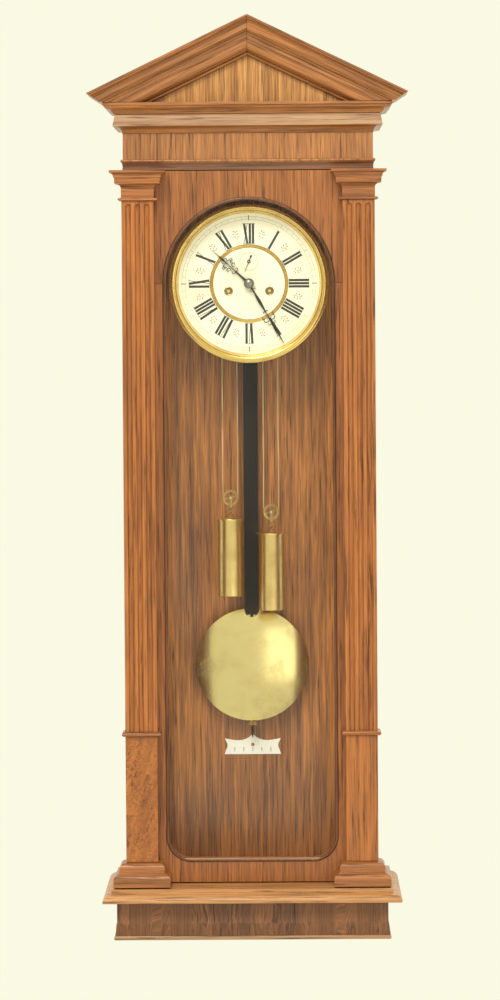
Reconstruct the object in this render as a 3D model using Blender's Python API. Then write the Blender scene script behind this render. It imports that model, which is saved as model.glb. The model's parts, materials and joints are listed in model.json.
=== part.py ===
"""Two-weight pendulum wall clock in an oak case with pilasters, an arched glazed door and a pediment.

Metres, +Z up, +X to the right of someone facing the clock, the front facing -Y and the wall at y = 0.
Heights in this file are measured from the foot of the clock. The empty "clock" lowers everything by
HANG_HEIGHT, so the world's origin is the hanging point on the steel hanger plate.
"""

import math

import bmesh
import bpy
from mathutils import Matrix, Vector

# ---------------------------------------------------------------- clearances
GAP = 0.0003           # between two pieces that touch
RUN = 0.0015           # round the door, so that it swings
BORE = 0.0003          # round an arbor in its hole
WELD = 0.000001        # corners nearer than this are one corner
ROUND = 40             # sides of the large round pieces

# ---------------------------------------------------------------- case, widths
CASE_WIDTH = 0.308     # outside the side boards
BOARD = 0.012          # back board thickness
SIDE = 0.012           # side board thickness
DOOR_OVERLAP = 0.004   # the door past each side board
PILASTER_WIDTH = 0.040
PILASTER_DEEP = 0.026
FRIEZE_WALL = 0.015
FRIEZE_SET_IN = 0.001  # the frieze inside the door's edge
PEDIMENT_OVERHANG = 0.0465

CASE_HALF = CASE_WIDTH / 2
DOOR_HALF = CASE_HALF + DOOR_OVERLAP
FRIEZE_HALF = DOOR_HALF - FRIEZE_SET_IN
PEDIMENT_HALF = CASE_HALF + PEDIMENT_OVERHANG
PILASTER_X = DOOR_HALF - PILASTER_WIDTH / 2

# ---------------------------------------------------------------- case, heights
APRON_HIGH = 0.048
SHELF_THICK = 0.0165
DOOR_HIGH = 0.896
DOOR_TO_FRIEZE = 0.001
FRIEZE_HIGH = 0.046
TOP_BOARD_THICK = 0.024
CORNICE_THICK = 0.014
TIP_HIGH = 0.0105      # the pediment's tips above the cornice
PITCH = math.radians(25.8)
RAKE_WIDE = 0.0438     # the raking cornice, square to its slope
HANG_DROP = 0.024      # the hanging point below the top of the back board
RAIL_HIGH = 0.0285
DIAL_DROP = 0.1415     # the dial's centre below the top of the door
BASE_HIGH = 0.0295
CAPITAL_HIGH = 0.038
DIE_HIGH = 0.158       # the plain foot of a pilaster, above its base
ASTRAGAL_HIGH = 0.006

SHELF_TOP = APRON_HIGH + SHELF_THICK
DOOR_BOTTOM = SHELF_TOP + RUN
DOOR_TOP = DOOR_BOTTOM + DOOR_HIGH
FRIEZE_BOTTOM = DOOR_TOP + DOOR_TO_FRIEZE
FRIEZE_TOP = FRIEZE_BOTTOM + FRIEZE_HIGH
TOP_BOARD_TOP = FRIEZE_TOP + TOP_BOARD_THICK
CORNICE_TOP = TOP_BOARD_TOP + CORNICE_THICK
PEAK = CORNICE_TOP + TIP_HIGH + PEDIMENT_HALF * math.tan(PITCH)
HANG_HEIGHT = FRIEZE_TOP - HANG_DROP
RAIL_TOP = DOOR_BOTTOM + RAIL_HIGH
DIAL_Z = DOOR_TOP - DIAL_DROP
BASE_TOP = DOOR_BOTTOM + BASE_HIGH
CAPITAL_BOTTOM = DOOR_TOP - CAPITAL_HIGH

# ---------------------------------------------------------------- movement, from the back board forwards
ROD_OFF_BOARD = 0.020  # back board to the pendulum's middle plane
ROD_TO_PLATE = 0.020
PLATE = 0.0025
PLATE_SPACE = 0.0335
MOTION_SPACE = 0.0055  # front plate to dial pan, for the motion work
PAN = 0.001
ENAMEL = 0.0015
DIAL_TO_DOOR = 0.0147  # dial to the front edges of the side boards
DOOR_THICK = 0.022
GLASS = 0.0025
GLASS_SET_IN = 0.0045  # glass in front of the door's back

ROD_Y = -BOARD - ROD_OFF_BOARD
BACK_PLATE_Y = ROD_Y - ROD_TO_PLATE
FRONT_PLATE_Y = BACK_PLATE_Y - PLATE - PLATE_SPACE
PAN_Y = FRONT_PLATE_Y - PLATE - MOTION_SPACE
DIAL_BACK = PAN_Y - PAN - GAP
DIAL_Y = DIAL_BACK - ENAMEL
CASE_FRONT = DIAL_Y - DIAL_TO_DOOR
DOOR_BACK = CASE_FRONT - RUN
DOOR_FRONT = DOOR_BACK - DOOR_THICK
GLASS_BACK = DOOR_BACK - GLASS_SET_IN
PILASTER_FRONT = DOOR_FRONT - PILASTER_DEEP

# ---------------------------------------------------------------- dial and hands
BEZEL_R = 0.101
BEZEL_WIDE = 0.0113
BEZEL_DEEP = 0.015
DIAL_EDGE = 0.0070     # the dial's edge inside the bezel's edge
INNER_RING_R = 0.0496
INNER_RING_WIDE = 0.004
RING_PROUD = 0.0008    # the inner ring in front of the enamel
ARCH_MARGIN = 0.0045   # door opening round the bezel
CORNER_R = 0.029       # lower corners of the door opening
HOUR_HAND = 0.063
MINUTE_HAND = 0.088
SECONDS_HAND = 0.0148
SECONDS_TAIL = 0.0090
HOUR_ANGLE = math.radians(312.5)
MINUTE_ANGLE = math.radians(150.0)
SECONDS_ANGLE = math.radians(202.0)
HAND_THICK = 0.001
BOSS_R = 0.0066
KEY_HOLE_R = 0.0057

DIAL_R = BEZEL_R - DIAL_EDGE
OPENING_HALF = BEZEL_R + ARCH_MARGIN

# ---------------------------------------------------------------- wheel train
WINDING_X = 0.026
WINDING_DROP = 0.0095
SECONDS_RISE = 0.028
PALLET_RISE = 0.052
ARBOR_R = 0.0012
WHEEL = 0.0015         # wheel thickness
PINION_TEETH = 8
GREAT_TEETH = 96
STRIKE_TEETH = 84
CENTRE_TEETH = 64
THIRD_TEETH = 60
ESCAPE_TEETH = 40
ESCAPE_R = 0.014
CENTRE_MODULE = 0.00055
THIRD_MODULE = 0.0005
CANNON_TEETH = 12
MINUTE_TEETH = 36
MINUTE_PINION_TEETH = 10
HOUR_TEETH = 40
MOTION_DISTANCE = 0.016
TOOTH_TIP = 0.75       # of the module, outside the pitch circle
TOOTH_ROOT = 1.25      # of the module, inside it
DRUM_R = 0.0085
DRUM_LONG = 0.020

GREAT_DISTANCE = math.hypot(WINDING_X, WINDING_DROP)
GREAT_MODULE = 2 * GREAT_DISTANCE / (GREAT_TEETH + PINION_TEETH)
THIRD_FROM_CENTRE = CENTRE_MODULE * (CENTRE_TEETH + PINION_TEETH) / 2
THIRD_FROM_ESCAPE = THIRD_MODULE * (THIRD_TEETH + PINION_TEETH) / 2
THIRD_RISE = (THIRD_FROM_CENTRE ** 2 - THIRD_FROM_ESCAPE ** 2 + SECONDS_RISE ** 2) / (2 * SECONDS_RISE)
THIRD_X = math.sqrt(THIRD_FROM_CENTRE ** 2 - THIRD_RISE ** 2)

# ---------------------------------------------------------------- pendulum
BOB_R = 0.073
BOB_THICK = 0.026
BOB_OVER_SHELF = 0.1925  # the bob's lowest point above the shelf
ROD_WIDE = 0.0184
ROD_THICK = 0.008
ROD_END_IN_BOB = 0.0082  # the wooden rod's rounded end, below the bob's upper edge
STEM_R = 0.0016
NUT_R = 0.0068
NUT_HIGH = 0.006
TIP_LONG = 0.0165      # pointer below the nut
SPRING_LONG = 0.010
BOB_Z = SHELF_TOP + BOB_OVER_SHELF + BOB_R
PIVOT_Z = DIAL_Z + PALLET_RISE
NUT_GAP = 0.0004       # nut below the bob's edge
TIP_Z = BOB_Z - BOB_R - NUT_GAP - NUT_HIGH - TIP_LONG
BEAT_PLATE_OVER = 0.0033  # the beat plate's peak above the pointer's tip

# ---------------------------------------------------------------- weights and lines
WEIGHT_R = 0.0162
WEIGHT_LONG = 0.099
LEFT_DROP = 0.3001     # the left weight's cap below the dial's centre
RIGHT_DROP = 0.3184
PULLEY_OVER_CAP = 0.0265
LINE_R = 0.0006
LINE_OFF_DRUM = 0.0004  # the line clear of its drum
LINE_PATH_R = DRUM_R + LINE_R + LINE_OFF_DRUM   # drum and pulley axis to the middle of the line
WEIGHT_TO_PLATE = 0.016  # the weights' plane, in front of the back plate's rear face
WEIGHT_Y = BACK_PLATE_Y - WEIGHT_TO_PLATE


# ---------------------------------------------------------------- making shapes
def clear_scene():
    for obj in list(bpy.data.objects):
        bpy.data.objects.remove(obj, do_unlink=True)


def shape_from(bm):
    """A loose object holding this bmesh, its corners welded and its faces turned outwards."""
    bmesh.ops.remove_doubles(bm, verts=bm.verts, dist=WELD)
    bmesh.ops.recalc_face_normals(bm, faces=bm.faces)
    mesh = bpy.data.meshes.new("shape")
    bm.to_mesh(mesh)
    bm.free()
    shape = bpy.data.objects.new("shape", mesh)
    bpy.context.scene.collection.objects.link(shape)
    return shape


def baked(obj):
    """The object's evaluated mesh, as a mesh of its own."""
    graph = bpy.context.evaluated_depsgraph_get()
    return bpy.data.meshes.new_from_object(obj.evaluated_get(graph))


def combined(base, tool, operation):
    modifier = base.modifiers.new(operation.title(), "BOOLEAN")
    modifier.operation = operation
    modifier.object = tool
    result = baked(base)
    base.modifiers.clear()
    base.data = result
    bpy.data.objects.remove(tool, do_unlink=True)
    return base


def cut(base, *tools):
    for tool in tools:
        combined(base, tool, "DIFFERENCE")
    return base


def joined(base, *others):
    for other in others:
        combined(base, other, "UNION")
    return base


def block(left, right, front, back, bottom, top):
    bm = bmesh.new()
    corners = [bm.verts.new((x, y, z)) for z in (bottom, top) for y in (front, back) for x in (left, right)]
    for face in ((0, 1, 3, 2), (4, 5, 7, 6), (0, 1, 5, 4), (2, 3, 7, 6), (0, 2, 6, 4), (1, 3, 7, 5)):
        bm.faces.new([corners[i] for i in face])
    return shape_from(bm)


def arc(centre, radius, start, end, steps):
    """Points (x, z) on an arc, angles in degrees from +X towards +Z."""
    turns = [math.radians(start + (end - start) * i / steps) for i in range(steps + 1)]
    return [(centre[0] + radius * math.cos(t), centre[1] + radius * math.sin(t)) for t in turns]


def circle(centre, radius, sides=24):
    return arc(centre, radius, 0, 360 - 360 / sides, sides - 1)


def plate(outline, front, thick, holes=()):
    """A flat piece seen from the front: outlines of (x, z) points, filled, with its front face at y = front."""
    curve = bpy.data.curves.new("outline", "CURVE")
    curve.dimensions = "2D"
    curve.fill_mode = "BOTH"
    curve.extrude = thick / 2
    for loop in (outline, *holes):
        spline = curve.splines.new("POLY")
        spline.points.add(len(loop) - 1)
        for point, (x, z) in zip(spline.points, loop):
            point.co = (x, z, 0, 1)
        spline.use_cyclic_u = True
    carrier = bpy.data.objects.new("outline", curve)
    bpy.context.scene.collection.objects.link(carrier)
    mesh = baked(carrier)
    bpy.data.objects.remove(carrier, do_unlink=True)
    mesh.transform(Matrix.Translation((0, front + thick / 2, 0)) @ Matrix.Rotation(math.pi / 2, 4, "X"))
    bm = bmesh.new()
    bm.from_mesh(mesh)
    return shape_from(bm)


def turned(profile, centre, axis="Z", sides=32, ring=False):
    """A turned piece: (radius, distance along the axis) pairs, spun about the axis through centre."""
    bm = bmesh.new()
    loops = []
    for radius, along in profile:
        count = sides if radius else 1
        turns = [2 * math.pi * (i + 0.5) / sides for i in range(count)]
        loops.append([bm.verts.new((radius * math.cos(t), radius * math.sin(t), along)) for t in turns])
    pairs = list(zip(loops, loops[1:])) + ([(loops[-1], loops[0])] if ring else [])
    for low, high in pairs:
        for i in range(sides):
            j = (i + 1) % sides
            corners = [low[i % len(low)], low[j % len(low)], high[j % len(high)], high[i % len(high)]]
            corners = list(dict.fromkeys(corners))
            if len(corners) > 2:
                bm.faces.new(corners)
    if axis == "Y":
        bm.transform(Matrix.Rotation(-math.pi / 2, 4, "X"))
    bm.transform(Matrix.Translation(centre))
    return shape_from(bm)


def pin(x, z, radius, front, back, sides=10):
    """A round rod along Y."""
    return turned([(0, back), (radius, back), (radius, front), (0, front)], (x, 0, z), "Y", sides)


def upright(x, y, radius, bottom, top, sides=12):
    """A round rod along Z."""
    return turned([(0, bottom), (radius, bottom), (radius, top), (0, top)], (x, y, 0), "Z", sides)


def moulded(profile, half, front, back, middle=0.0):
    """A board whose front and two ends carry one moulding: (projection, height) pairs from bottom to top."""
    bm = bmesh.new()
    loops = []
    for out, z in profile:
        left, right = middle - half - out, middle + half + out
        corners = ((left, back), (left, front - out), (right, front - out), (right, back))
        loops.append([bm.verts.new((x, y, z)) for x, y in corners])
    for low, high in zip(loops, loops[1:]):
        for i in range(4):
            j = (i + 1) % 4
            bm.faces.new((low[i], low[j], high[j], high[i]))
    bm.faces.new(loops[0])
    bm.faces.new(loops[-1])
    return shape_from(bm)


def toothed(centre, teeth, module, front, thick, towards=0.0, gap_there=False, holes=()):
    """A toothed disc. A tooth, or with gap_there the space between two, points along the angle towards."""
    radius = module * teeth / 2
    start = towards + (math.pi / teeth if gap_there else 0)
    outline = []
    for i in range(2 * teeth):
        reach = radius - TOOTH_ROOT * module if i % 2 else radius + TOOTH_TIP * module
        angle = start + math.pi * i / teeth
        outline.append((centre[0] + reach * math.cos(angle), centre[1] + reach * math.sin(angle)))
    return plate(outline, front, thick, holes)


def crossings(centre, inner, outer, arms, spoke):
    """The openings between a wheel's arms."""
    openings = []
    for k in range(arms):
        a, b = 360 * k / arms, 360 * (k + 1) / arms
        wide = math.degrees(spoke / 2 / outer)
        narrow = math.degrees(spoke / 2 / inner)
        openings.append(arc(centre, outer, a + wide, b - wide, 3) + arc(centre, inner, b - narrow, a + narrow, 1))
    return openings


def bearing(start, end):
    """The angle of the line from one (x, z) point to another."""
    return math.atan2(end[1] - start[1], end[0] - start[0])


# ---------------------------------------------------------------- finishes
OAK = ("oak", (0.36, 0.15, 0.045), 0.45, 0.0)
DARK_OAK = ("dark_oak", (0.22, 0.085, 0.028), 0.45, 0.0)
PALE_OAK = ("pale_oak", (0.52, 0.25, 0.09), 0.45, 0.0)
EBONISED = ("ebonised_wood", (0.012, 0.010, 0.009), 0.4, 0.0)
BRASS = ("brass", (0.78, 0.57, 0.22), 0.22, 1.0)
STEEL = ("steel", (0.35, 0.35, 0.36), 0.35, 1.0)
BLUED = ("dark_steel", (0.03, 0.03, 0.035), 0.35, 0.6)
CREAM = ("enamel", (0.86, 0.83, 0.72), 0.25, 0.0)
CLEAR = ("glass", (0.9, 0.95, 0.93), 0.03, 0.0)
GUT = ("gut", (0.55, 0.42, 0.22), 0.6, 0.0)


def finish(name, colour, roughness, metallic):
    material = bpy.data.materials.get(name)
    if material:
        return material
    material = bpy.data.materials.new(name)
    material.use_nodes = True
    shader = material.node_tree.nodes["Principled BSDF"]
    shader.inputs["Base Color"].default_value = (*colour, 1)
    shader.inputs["Roughness"].default_value = roughness
    shader.inputs["Metallic"].default_value = metallic
    return material


def piece(name, shape, look, pivot=(0, 0, 0)):
    """Name a finished shape, move its origin to the pivot and hang it on the clock's empty."""
    shape.data.transform(Matrix.Translation(-Vector(pivot)))
    shape.location = pivot
    shape.name = name
    shape.data.name = name
    shape.parent = bpy.data.objects["clock"]
    shape.data.materials.clear()
    shape.data.materials.append(finish(*look))
    shape.data.shade_smooth()
    shape.data.set_sharp_from_angle(angle=math.radians(30))
    return shape


# ---------------------------------------------------------------- case
PLATE_WIDE, PLATE_HIGH, PLATE_THICK = 0.060, 0.048, 0.003   # hanger plate
PLATE_ABOVE = 0.012    # of it, above the hanging point
SLOT_R, SLOT_HEAD_R, SLOT_LONG = 0.003, 0.006, 0.016
WELL_DEEP = 0.009      # room for the hook's head behind the slot


def hanger_plate():
    top = HANG_HEIGHT + PLATE_ABOVE
    shape = block(-PLATE_WIDE / 2, PLATE_WIDE / 2, -PLATE_THICK, 0, top - PLATE_HIGH, top)
    slot_top = HANG_HEIGHT - 2 * SLOT_R
    slot = arc((0, slot_top), SLOT_R, 0, 180, 8) + arc((0, slot_top - SLOT_LONG), SLOT_HEAD_R, 150, 390, 12)
    return piece("hanger_plate", cut(shape, plate(slot, -2 * PLATE_THICK, 3 * PLATE_THICK)), STEEL)


def back_board():
    shape = block(-CASE_HALF, CASE_HALF, -BOARD, 0, 0, FRIEZE_TOP - GAP)
    top = HANG_HEIGHT + PLATE_ABOVE + GAP
    half = PLATE_WIDE / 2 + GAP
    bottom = HANG_HEIGHT + PLATE_ABOVE - PLATE_HIGH - GAP
    mortise = block(-half, half, -PLATE_THICK - GAP, GAP, bottom, top)
    well_half = 2 * SLOT_HEAD_R
    well = block(-well_half, well_half, -WELL_DEEP, GAP, bottom + GAP, HANG_HEIGHT)
    return piece("back_board", cut(shape, mortise, well), OAK)


WINDOW_FOOT = 0.055    # frame of the side light: below, above and at each edge
WINDOW_HEAD = 0.030
WINDOW_EDGE = 0.020
SIDE_GLASS = 0.003


def side(hand, label):
    """A side board with its light; hand is -1 on the left and 1 on the right."""
    inner, outer = sorted((hand * (CASE_HALF - SIDE), hand * CASE_HALF))
    back, bottom, top = -BOARD - GAP, SHELF_TOP + GAP, FRIEZE_BOTTOM - GAP
    board = block(inner, outer, CASE_FRONT, back, bottom, top)
    window = (CASE_FRONT + WINDOW_EDGE, back - WINDOW_EDGE, bottom + WINDOW_FOOT, top - WINDOW_HEAD)
    hole = block(inner - SIDE, outer + SIDE, *window)
    piece("side_" + label, cut(board, hole), OAK)
    near = hand * (CASE_HALF - SIDE + SIDE_GLASS / 2)
    left, right = sorted((near, near + hand * SIDE_GLASS))
    front, rear, low, high = window
    pane = block(left, right, front + GAP, rear - GAP, low + GAP, high - GAP)
    piece("side_glass_" + label, pane, CLEAR)


def frieze():
    z = FRIEZE_BOTTOM
    profile = [(0.0005, z), (0.0002, z + 0.0040), (0.0008, z + 0.0085), (0.0022, z + 0.0100)]
    profile += [(0.0030, z + 0.0110), (0.0030, z + 0.0125), (0.0020, z + 0.0137), (0, z + 0.0140)]
    profile += [(0, FRIEZE_TOP)]
    shape = moulded(profile, FRIEZE_HALF, DOOR_FRONT, -BOARD - GAP)
    half, low, high = FRIEZE_HALF - FRIEZE_WALL, z - FRIEZE_WALL, FRIEZE_TOP + FRIEZE_WALL
    shape = cut(shape, block(-half, half, DOOR_FRONT + FRIEZE_WALL, 0, low, high))
    return piece("frieze", cut(shape, pivot_hole(FRIEZE_BOTTOM)), OAK)


def top_board():
    z = FRIEZE_TOP + GAP
    profile = [(0.0005, z), (0.0010, z + 0.0020), (0.0025, z + 0.0045), (0.0055, z + 0.0070)]
    profile += [(0.0095, z + 0.0085), (0.0120, z + 0.0087), (0.0120, z + 0.0097), (0.0090, TOP_BOARD_TOP)]
    return piece("top_board", moulded(profile, FRIEZE_HALF, DOOR_FRONT, 0), PALE_OAK)


def cornice():
    z = TOP_BOARD_TOP + GAP
    profile = [(0.0115, z), (0.0120, z + 0.0020), (0.0130, z + 0.0035), (0.0155, z + 0.0065)]
    profile += [(0.0190, z + 0.0090), (0.0225, z + 0.0100), (0.0240, z + 0.0102), (0.0240, CORNICE_TOP)]
    return piece("cornice", moulded(profile, FRIEZE_HALF, DOOR_FRONT, 0), OAK)


# ---------------------------------------------------------------- pediment
TYMPANUM_BACK = 0.0075   # tympanum's back, in front of the door's front plane (towards the wall)
TYMPANUM_FRONT = 0.0045  # its face, in front of the door's front plane
RAKE_BACK = 0.040        # the raking cornice's back, behind the door's front plane
END_SLOPE = math.radians(33)
# The raking moulding: (distance below its top edge, projection from the door's front plane).
RAKE_PROFILE = [(0, 0.0435), (0.0026, 0.0435), (0.0026, 0.0425), (0.0050, 0.0415), (0.0080, 0.0370),
                (0.0125, 0.0320), (0.0175, 0.0275), (0.0195, 0.0265), (0.0208, 0.0265), (0.0208, 0.0250),
                (0.0262, 0.0245), (0.0262, 0.0232), (0.0318, 0.0225), (0.0330, 0.0200), (0.0365, 0.0150),
                (0.0400, 0.0110), (0.0408, 0.0110), (0.0438, 0.0085)]


def tympanum():
    inset = (RAKE_WIDE + GAP) / math.cos(PITCH)
    apex = PEAK - inset
    half = (apex - CORNICE_TOP - GAP) / math.tan(PITCH)
    outline = [(-half, CORNICE_TOP + GAP), (half, CORNICE_TOP + GAP), (0, apex)]
    front = DOOR_FRONT - TYMPANUM_FRONT
    return piece("tympanum", plate(outline, front, TYMPANUM_FRONT + TYMPANUM_BACK), OAK)


def raking_cornice(hand, label):
    """One sloping moulding, mitred at the peak and cut off at the tip and on the cornice."""
    down = Vector((hand * math.cos(PITCH), 0, -math.sin(PITCH)))
    under = Vector((-hand * math.sin(PITCH), 0, -math.cos(PITCH)))
    length = PEDIMENT_HALF / math.cos(PITCH)
    bm = bmesh.new()
    loops = []
    for along in (-RAKE_WIDE, length + RAKE_WIDE):
        start = Vector((0, 0, PEAK)) + down * along
        rim = [start + under * s + Vector((0, DOOR_FRONT - out, 0)) for s, out in RAKE_PROFILE]
        rim += [start + under * s + Vector((0, DOOR_FRONT + RAKE_BACK, 0)) for s in (RAKE_WIDE, 0)]
        loops.append([bm.verts.new(point) for point in rim])
    count = len(loops[0])
    for i in range(count):
        j = (i + 1) % count
        bm.faces.new((loops[0][i], loops[0][j], loops[1][j], loops[1][i]))
    bm.faces.new(loops[0])
    bm.faces.new(loops[1])
    low, high = CORNICE_TOP + GAP, PEAK + RAKE_WIDE
    foot = PEDIMENT_HALF - TIP_HIGH / math.tan(END_SLOPE)
    top = foot + (high - low) / math.tan(END_SLOPE)
    keep = [(hand * x, z) for x, z in ((GAP / 2, low), (foot, low), (top, high), (GAP / 2, high))]
    shape = combined(shape_from(bm), plate(keep, DOOR_FRONT - 0.1, 0.2), "INTERSECT")
    return piece("raking_cornice_" + label, shape, OAK)


# ---------------------------------------------------------------- foot of the case
BASE_OUT = 0.0157      # a pilaster base past the pilaster
SHELF_OUT = 0.0023     # the shelf's upper step past the bases
SHELF_ROUND = 0.0110   # and its rounded edge past that step
APRON_IN = 0.0173      # the apron inside the shelf's rounded edge
APRON_WALL = 0.014
PIN_R = 0.0025         # door pivots
PIN_IN_DOOR = 0.009
PIN_IN_CASE = 0.007
PIVOT_IN = 0.005       # the pivots inside the door's right edge
PIVOT_X = DOOR_HALF - PIVOT_IN
PIVOT_Y = DOOR_BACK - DOOR_THICK / 2
SHELF_HALF = DOOR_HALF + BASE_OUT + SHELF_OUT
SHELF_FRONT = PILASTER_FRONT - BASE_OUT - SHELF_OUT


def pivot_hole(surface):
    """The bore for a door pivot, into the surface at this height from either side."""
    deep = PIN_IN_DOOR + GAP
    return upright(PIVOT_X, PIVOT_Y, PIN_R + GAP, surface - deep, surface + deep)


def base_shelf():
    z = APRON_HIGH
    profile = [(0.0085, z), (SHELF_ROUND, z + 0.0018), (0.0106, z + 0.0040), (0.0086, z + 0.0068)]
    profile += [(0.0055, z + 0.0090), (0.0018, z + 0.0104), (0.0015, z + 0.0108), (0, z + 0.0110)]
    profile += [(0, SHELF_TOP)]
    shape = moulded(profile, SHELF_HALF, SHELF_FRONT, -BOARD - GAP)
    return piece("base_shelf", cut(shape, pivot_hole(SHELF_TOP)), PALE_OAK)


def apron():
    half = SHELF_HALF + SHELF_ROUND - APRON_IN
    front = SHELF_FRONT - SHELF_ROUND + APRON_IN
    profile = [(0.0012, 0), (0.0028, 0.0006), (0.0036, 0.0026), (0.0030, 0.0048), (0.0018, 0.0058)]
    profile += [(0.0012, 0.0090), (0.0004, 0.0160), (0, 0.0260), (0, APRON_HIGH - GAP)]
    shape = moulded(profile, half, front, -BOARD - GAP)
    room = block(APRON_WALL - half, half - APRON_WALL, front + APRON_WALL, 0, -APRON_WALL, 2 * APRON_HIGH)
    return piece("apron", cut(shape, room), DARK_OAK)


# ---------------------------------------------------------------- door
ARCH_STEPS = 32
CORNER_STEPS = 8
FLUTES = 3
FLUTE_PITCH = 0.0116
FLUTE_R = 0.0034
FLUTE_SIDES = 12
FLUTE_TOP = 0.0034     # the flutes' round tops below the capital
CATCH_IN = 0.005       # the catch inside the left side board


def opening(shrink):
    """The door's arched opening as (x, z) points, drawn in by shrink all round."""
    half = OPENING_HALF - shrink
    low = (OPENING_HALF - CORNER_R, RAIL_TOP + CORNER_R)
    points = arc((0, DIAL_Z), half, 0, 180, ARCH_STEPS)
    points += arc((-low[0], low[1]), CORNER_R - shrink, 180, 270, CORNER_STEPS)
    return points + arc(low, CORNER_R - shrink, 270, 360, CORNER_STEPS)


def door_frame():
    wide = OPENING_HALF + GAP
    for hand, label in ((-1, "left"), (1, "right")):
        inner, outer = sorted((hand * wide, hand * DOOR_HALF))
        stile = block(inner, outer, DOOR_FRONT, DOOR_BACK, DOOR_BOTTOM, DIAL_Z - GAP)
        if hand > 0:
            cut(stile, pivot_hole(DOOR_BOTTOM))
        piece("door_stile_" + label, stile, OAK)
    head = [(-DOOR_HALF, DIAL_Z)] + arc((0, DIAL_Z), OPENING_HALF, 180, 0, ARCH_STEPS)
    head += [(DOOR_HALF, DIAL_Z), (DOOR_HALF, DOOR_TOP), (-DOOR_HALF, DOOR_TOP)]
    shape = cut(plate(head, DOOR_FRONT, DOOR_THICK), pivot_hole(DOOR_TOP))
    piece("door_head", shape, OAK)
    high, inside = RAIL_TOP + CORNER_R, OPENING_HALF - CORNER_R
    rail = [(-OPENING_HALF, DOOR_BOTTOM), (OPENING_HALF, DOOR_BOTTOM)]
    rail += arc((inside, high), CORNER_R, 360, 270, CORNER_STEPS)
    rail += arc((-inside, high), CORNER_R, 270, 180, CORNER_STEPS)
    piece("door_rail", plate(rail, DOOR_FRONT, DOOR_THICK), OAK)
    piece("door_glass", plate(opening(GAP), GLASS_BACK - GLASS, GLASS), CLEAR)


def pilaster(hand, label):
    """A fluted shaft over an astragal and a plain die."""
    x = hand * PILASTER_X
    bottom, top = BASE_TOP + GAP, CAPITAL_BOTTOM - GAP
    z = BASE_TOP + DIE_HIGH
    end = z + ASTRAGAL_HIGH
    profile = [(0, bottom), (0, z), (0.0020, z + 0.0004), (0.0040, z + 0.0016), (0.0044, z + 0.0030)]
    profile += [(0.0040, end - 0.0016), (0.0020, end - 0.0004), (0, end), (0, top)]
    shape = moulded(profile, PILASTER_WIDTH / 2, PILASTER_FRONT, DOOR_FRONT - GAP, x)
    crown = top - FLUTE_TOP
    bulge = [(FLUTE_R * math.cos(t), crown - FLUTE_R + FLUTE_R * math.sin(t)) for t in (0, 0.4, 0.8, 1.2)]
    for k in range(FLUTES):
        middle = (x + (k - (FLUTES - 1) / 2) * FLUTE_PITCH, PILASTER_FRONT, 0)
        flute = turned([(0, end), (FLUTE_R, end), *bulge, (0, crown)], middle, "Z", FLUTE_SIDES)
        cut(shape, flute)
    return piece("pilaster_" + label, shape, OAK)


def capital(hand, label):
    z = CAPITAL_BOTTOM
    profile = [(0.0030, z), (0.0046, z + 0.0008), (0.0046, z + 0.0026), (0.0030, z + 0.0038)]
    profile += [(0.0004, z + 0.0040), (0.0004, z + 0.0170), (0.0020, z + 0.0172), (0.0040, z + 0.0190)]
    profile += [(0.0076, z + 0.0210), (0.0082, z + 0.0214), (0.0086, z + 0.0290), (0.0100, z + 0.0302)]
    profile += [(0.0112, z + 0.0330), (0.0142, z + 0.0350), (0.0147, z + 0.0354), (0.0147, DOOR_TOP)]
    shape = moulded(profile, PILASTER_WIDTH / 2, PILASTER_FRONT, DOOR_FRONT - GAP, hand * PILASTER_X)
    return piece("capital_" + label, shape, OAK)


def pilaster_base(hand, label):
    z = DOOR_BOTTOM
    profile = [(BASE_OUT, z), (BASE_OUT, z + 0.0095), (0.0145, z + 0.0120), (0.0110, z + 0.0145)]
    profile += [(0.0100, z + 0.0165), (0.0082, z + 0.0168), (0.0082, z + 0.0240), (0.0070, z + 0.0262)]
    profile += [(0.0038, z + 0.0280), (0.0020, BASE_TOP)]
    shape = moulded(profile, PILASTER_WIDTH / 2, PILASTER_FRONT, DOOR_FRONT - GAP, hand * PILASTER_X)
    return piece("pilaster_base_" + label, shape, OAK)


def door_fittings():
    """The two pivots the door turns on, and the sprung catch behind its left stile."""
    axis = (PIVOT_X, PIVOT_Y, 0)
    low = upright(PIVOT_X, PIVOT_Y, PIN_R, SHELF_TOP - PIN_IN_CASE, DOOR_BOTTOM + PIN_IN_DOOR)
    piece("door_pivot_lower", low, STEEL, axis)
    high = upright(PIVOT_X, PIVOT_Y, PIN_R, DOOR_TOP - PIN_IN_DOOR, FRIEZE_BOTTOM + PIN_IN_CASE)
    piece("door_pivot_upper", high, STEEL, axis)
    edge = CATCH_IN + SIDE - CASE_HALF
    middle = (DOOR_BOTTOM + DOOR_TOP) / 2
    foot = block(edge, edge + 0.010, DOOR_BACK + GAP, DOOR_BACK + 0.002, middle - 0.020, middle + 0.020)
    tongue = block(edge, edge + 0.002, DOOR_BACK + GAP, DOOR_BACK + 0.010, middle - 0.010, middle + 0.010)
    piece("door_catch", joined(foot, tongue), BRASS, axis)


# ---------------------------------------------------------------- movement: fixed pieces
PLATE_HALF = 0.056
PLATE_UP, PLATE_DOWN = 0.060, 0.052
PILLAR_R = 0.003
PILLARS = ((-0.048, -0.044), (0.048, -0.044), (-0.048, 0.052), (0.048, 0.052))
DIAL_FEET = ((-0.050, -0.034), (0.050, -0.034), (-0.050, 0.034), (0.050, 0.034))
FOOT_R = 0.002
DRUM_ARBOR_R = 0.0022
STUD_R = 0.0012
SECONDS_ARBOR_R = 0.0009
HAMMER_X, HAMMER_RISE = -0.044, 0.030
HAMMER_LEAN = 0.008    # the hammer's head, outside its arbor
BRACKET_ARM = 0.008    # width of its two arms
BRACKET_BAR = 0.006    # thickness of its arms and cross bar
BRACKET_FOOT = 0.033   # height of its flange on the back board
LINE_HOLE_R = 0.003
COCK_HALF, COCK_HIGH = 0.006, 0.008   # the block that the pendulum hangs from


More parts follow.
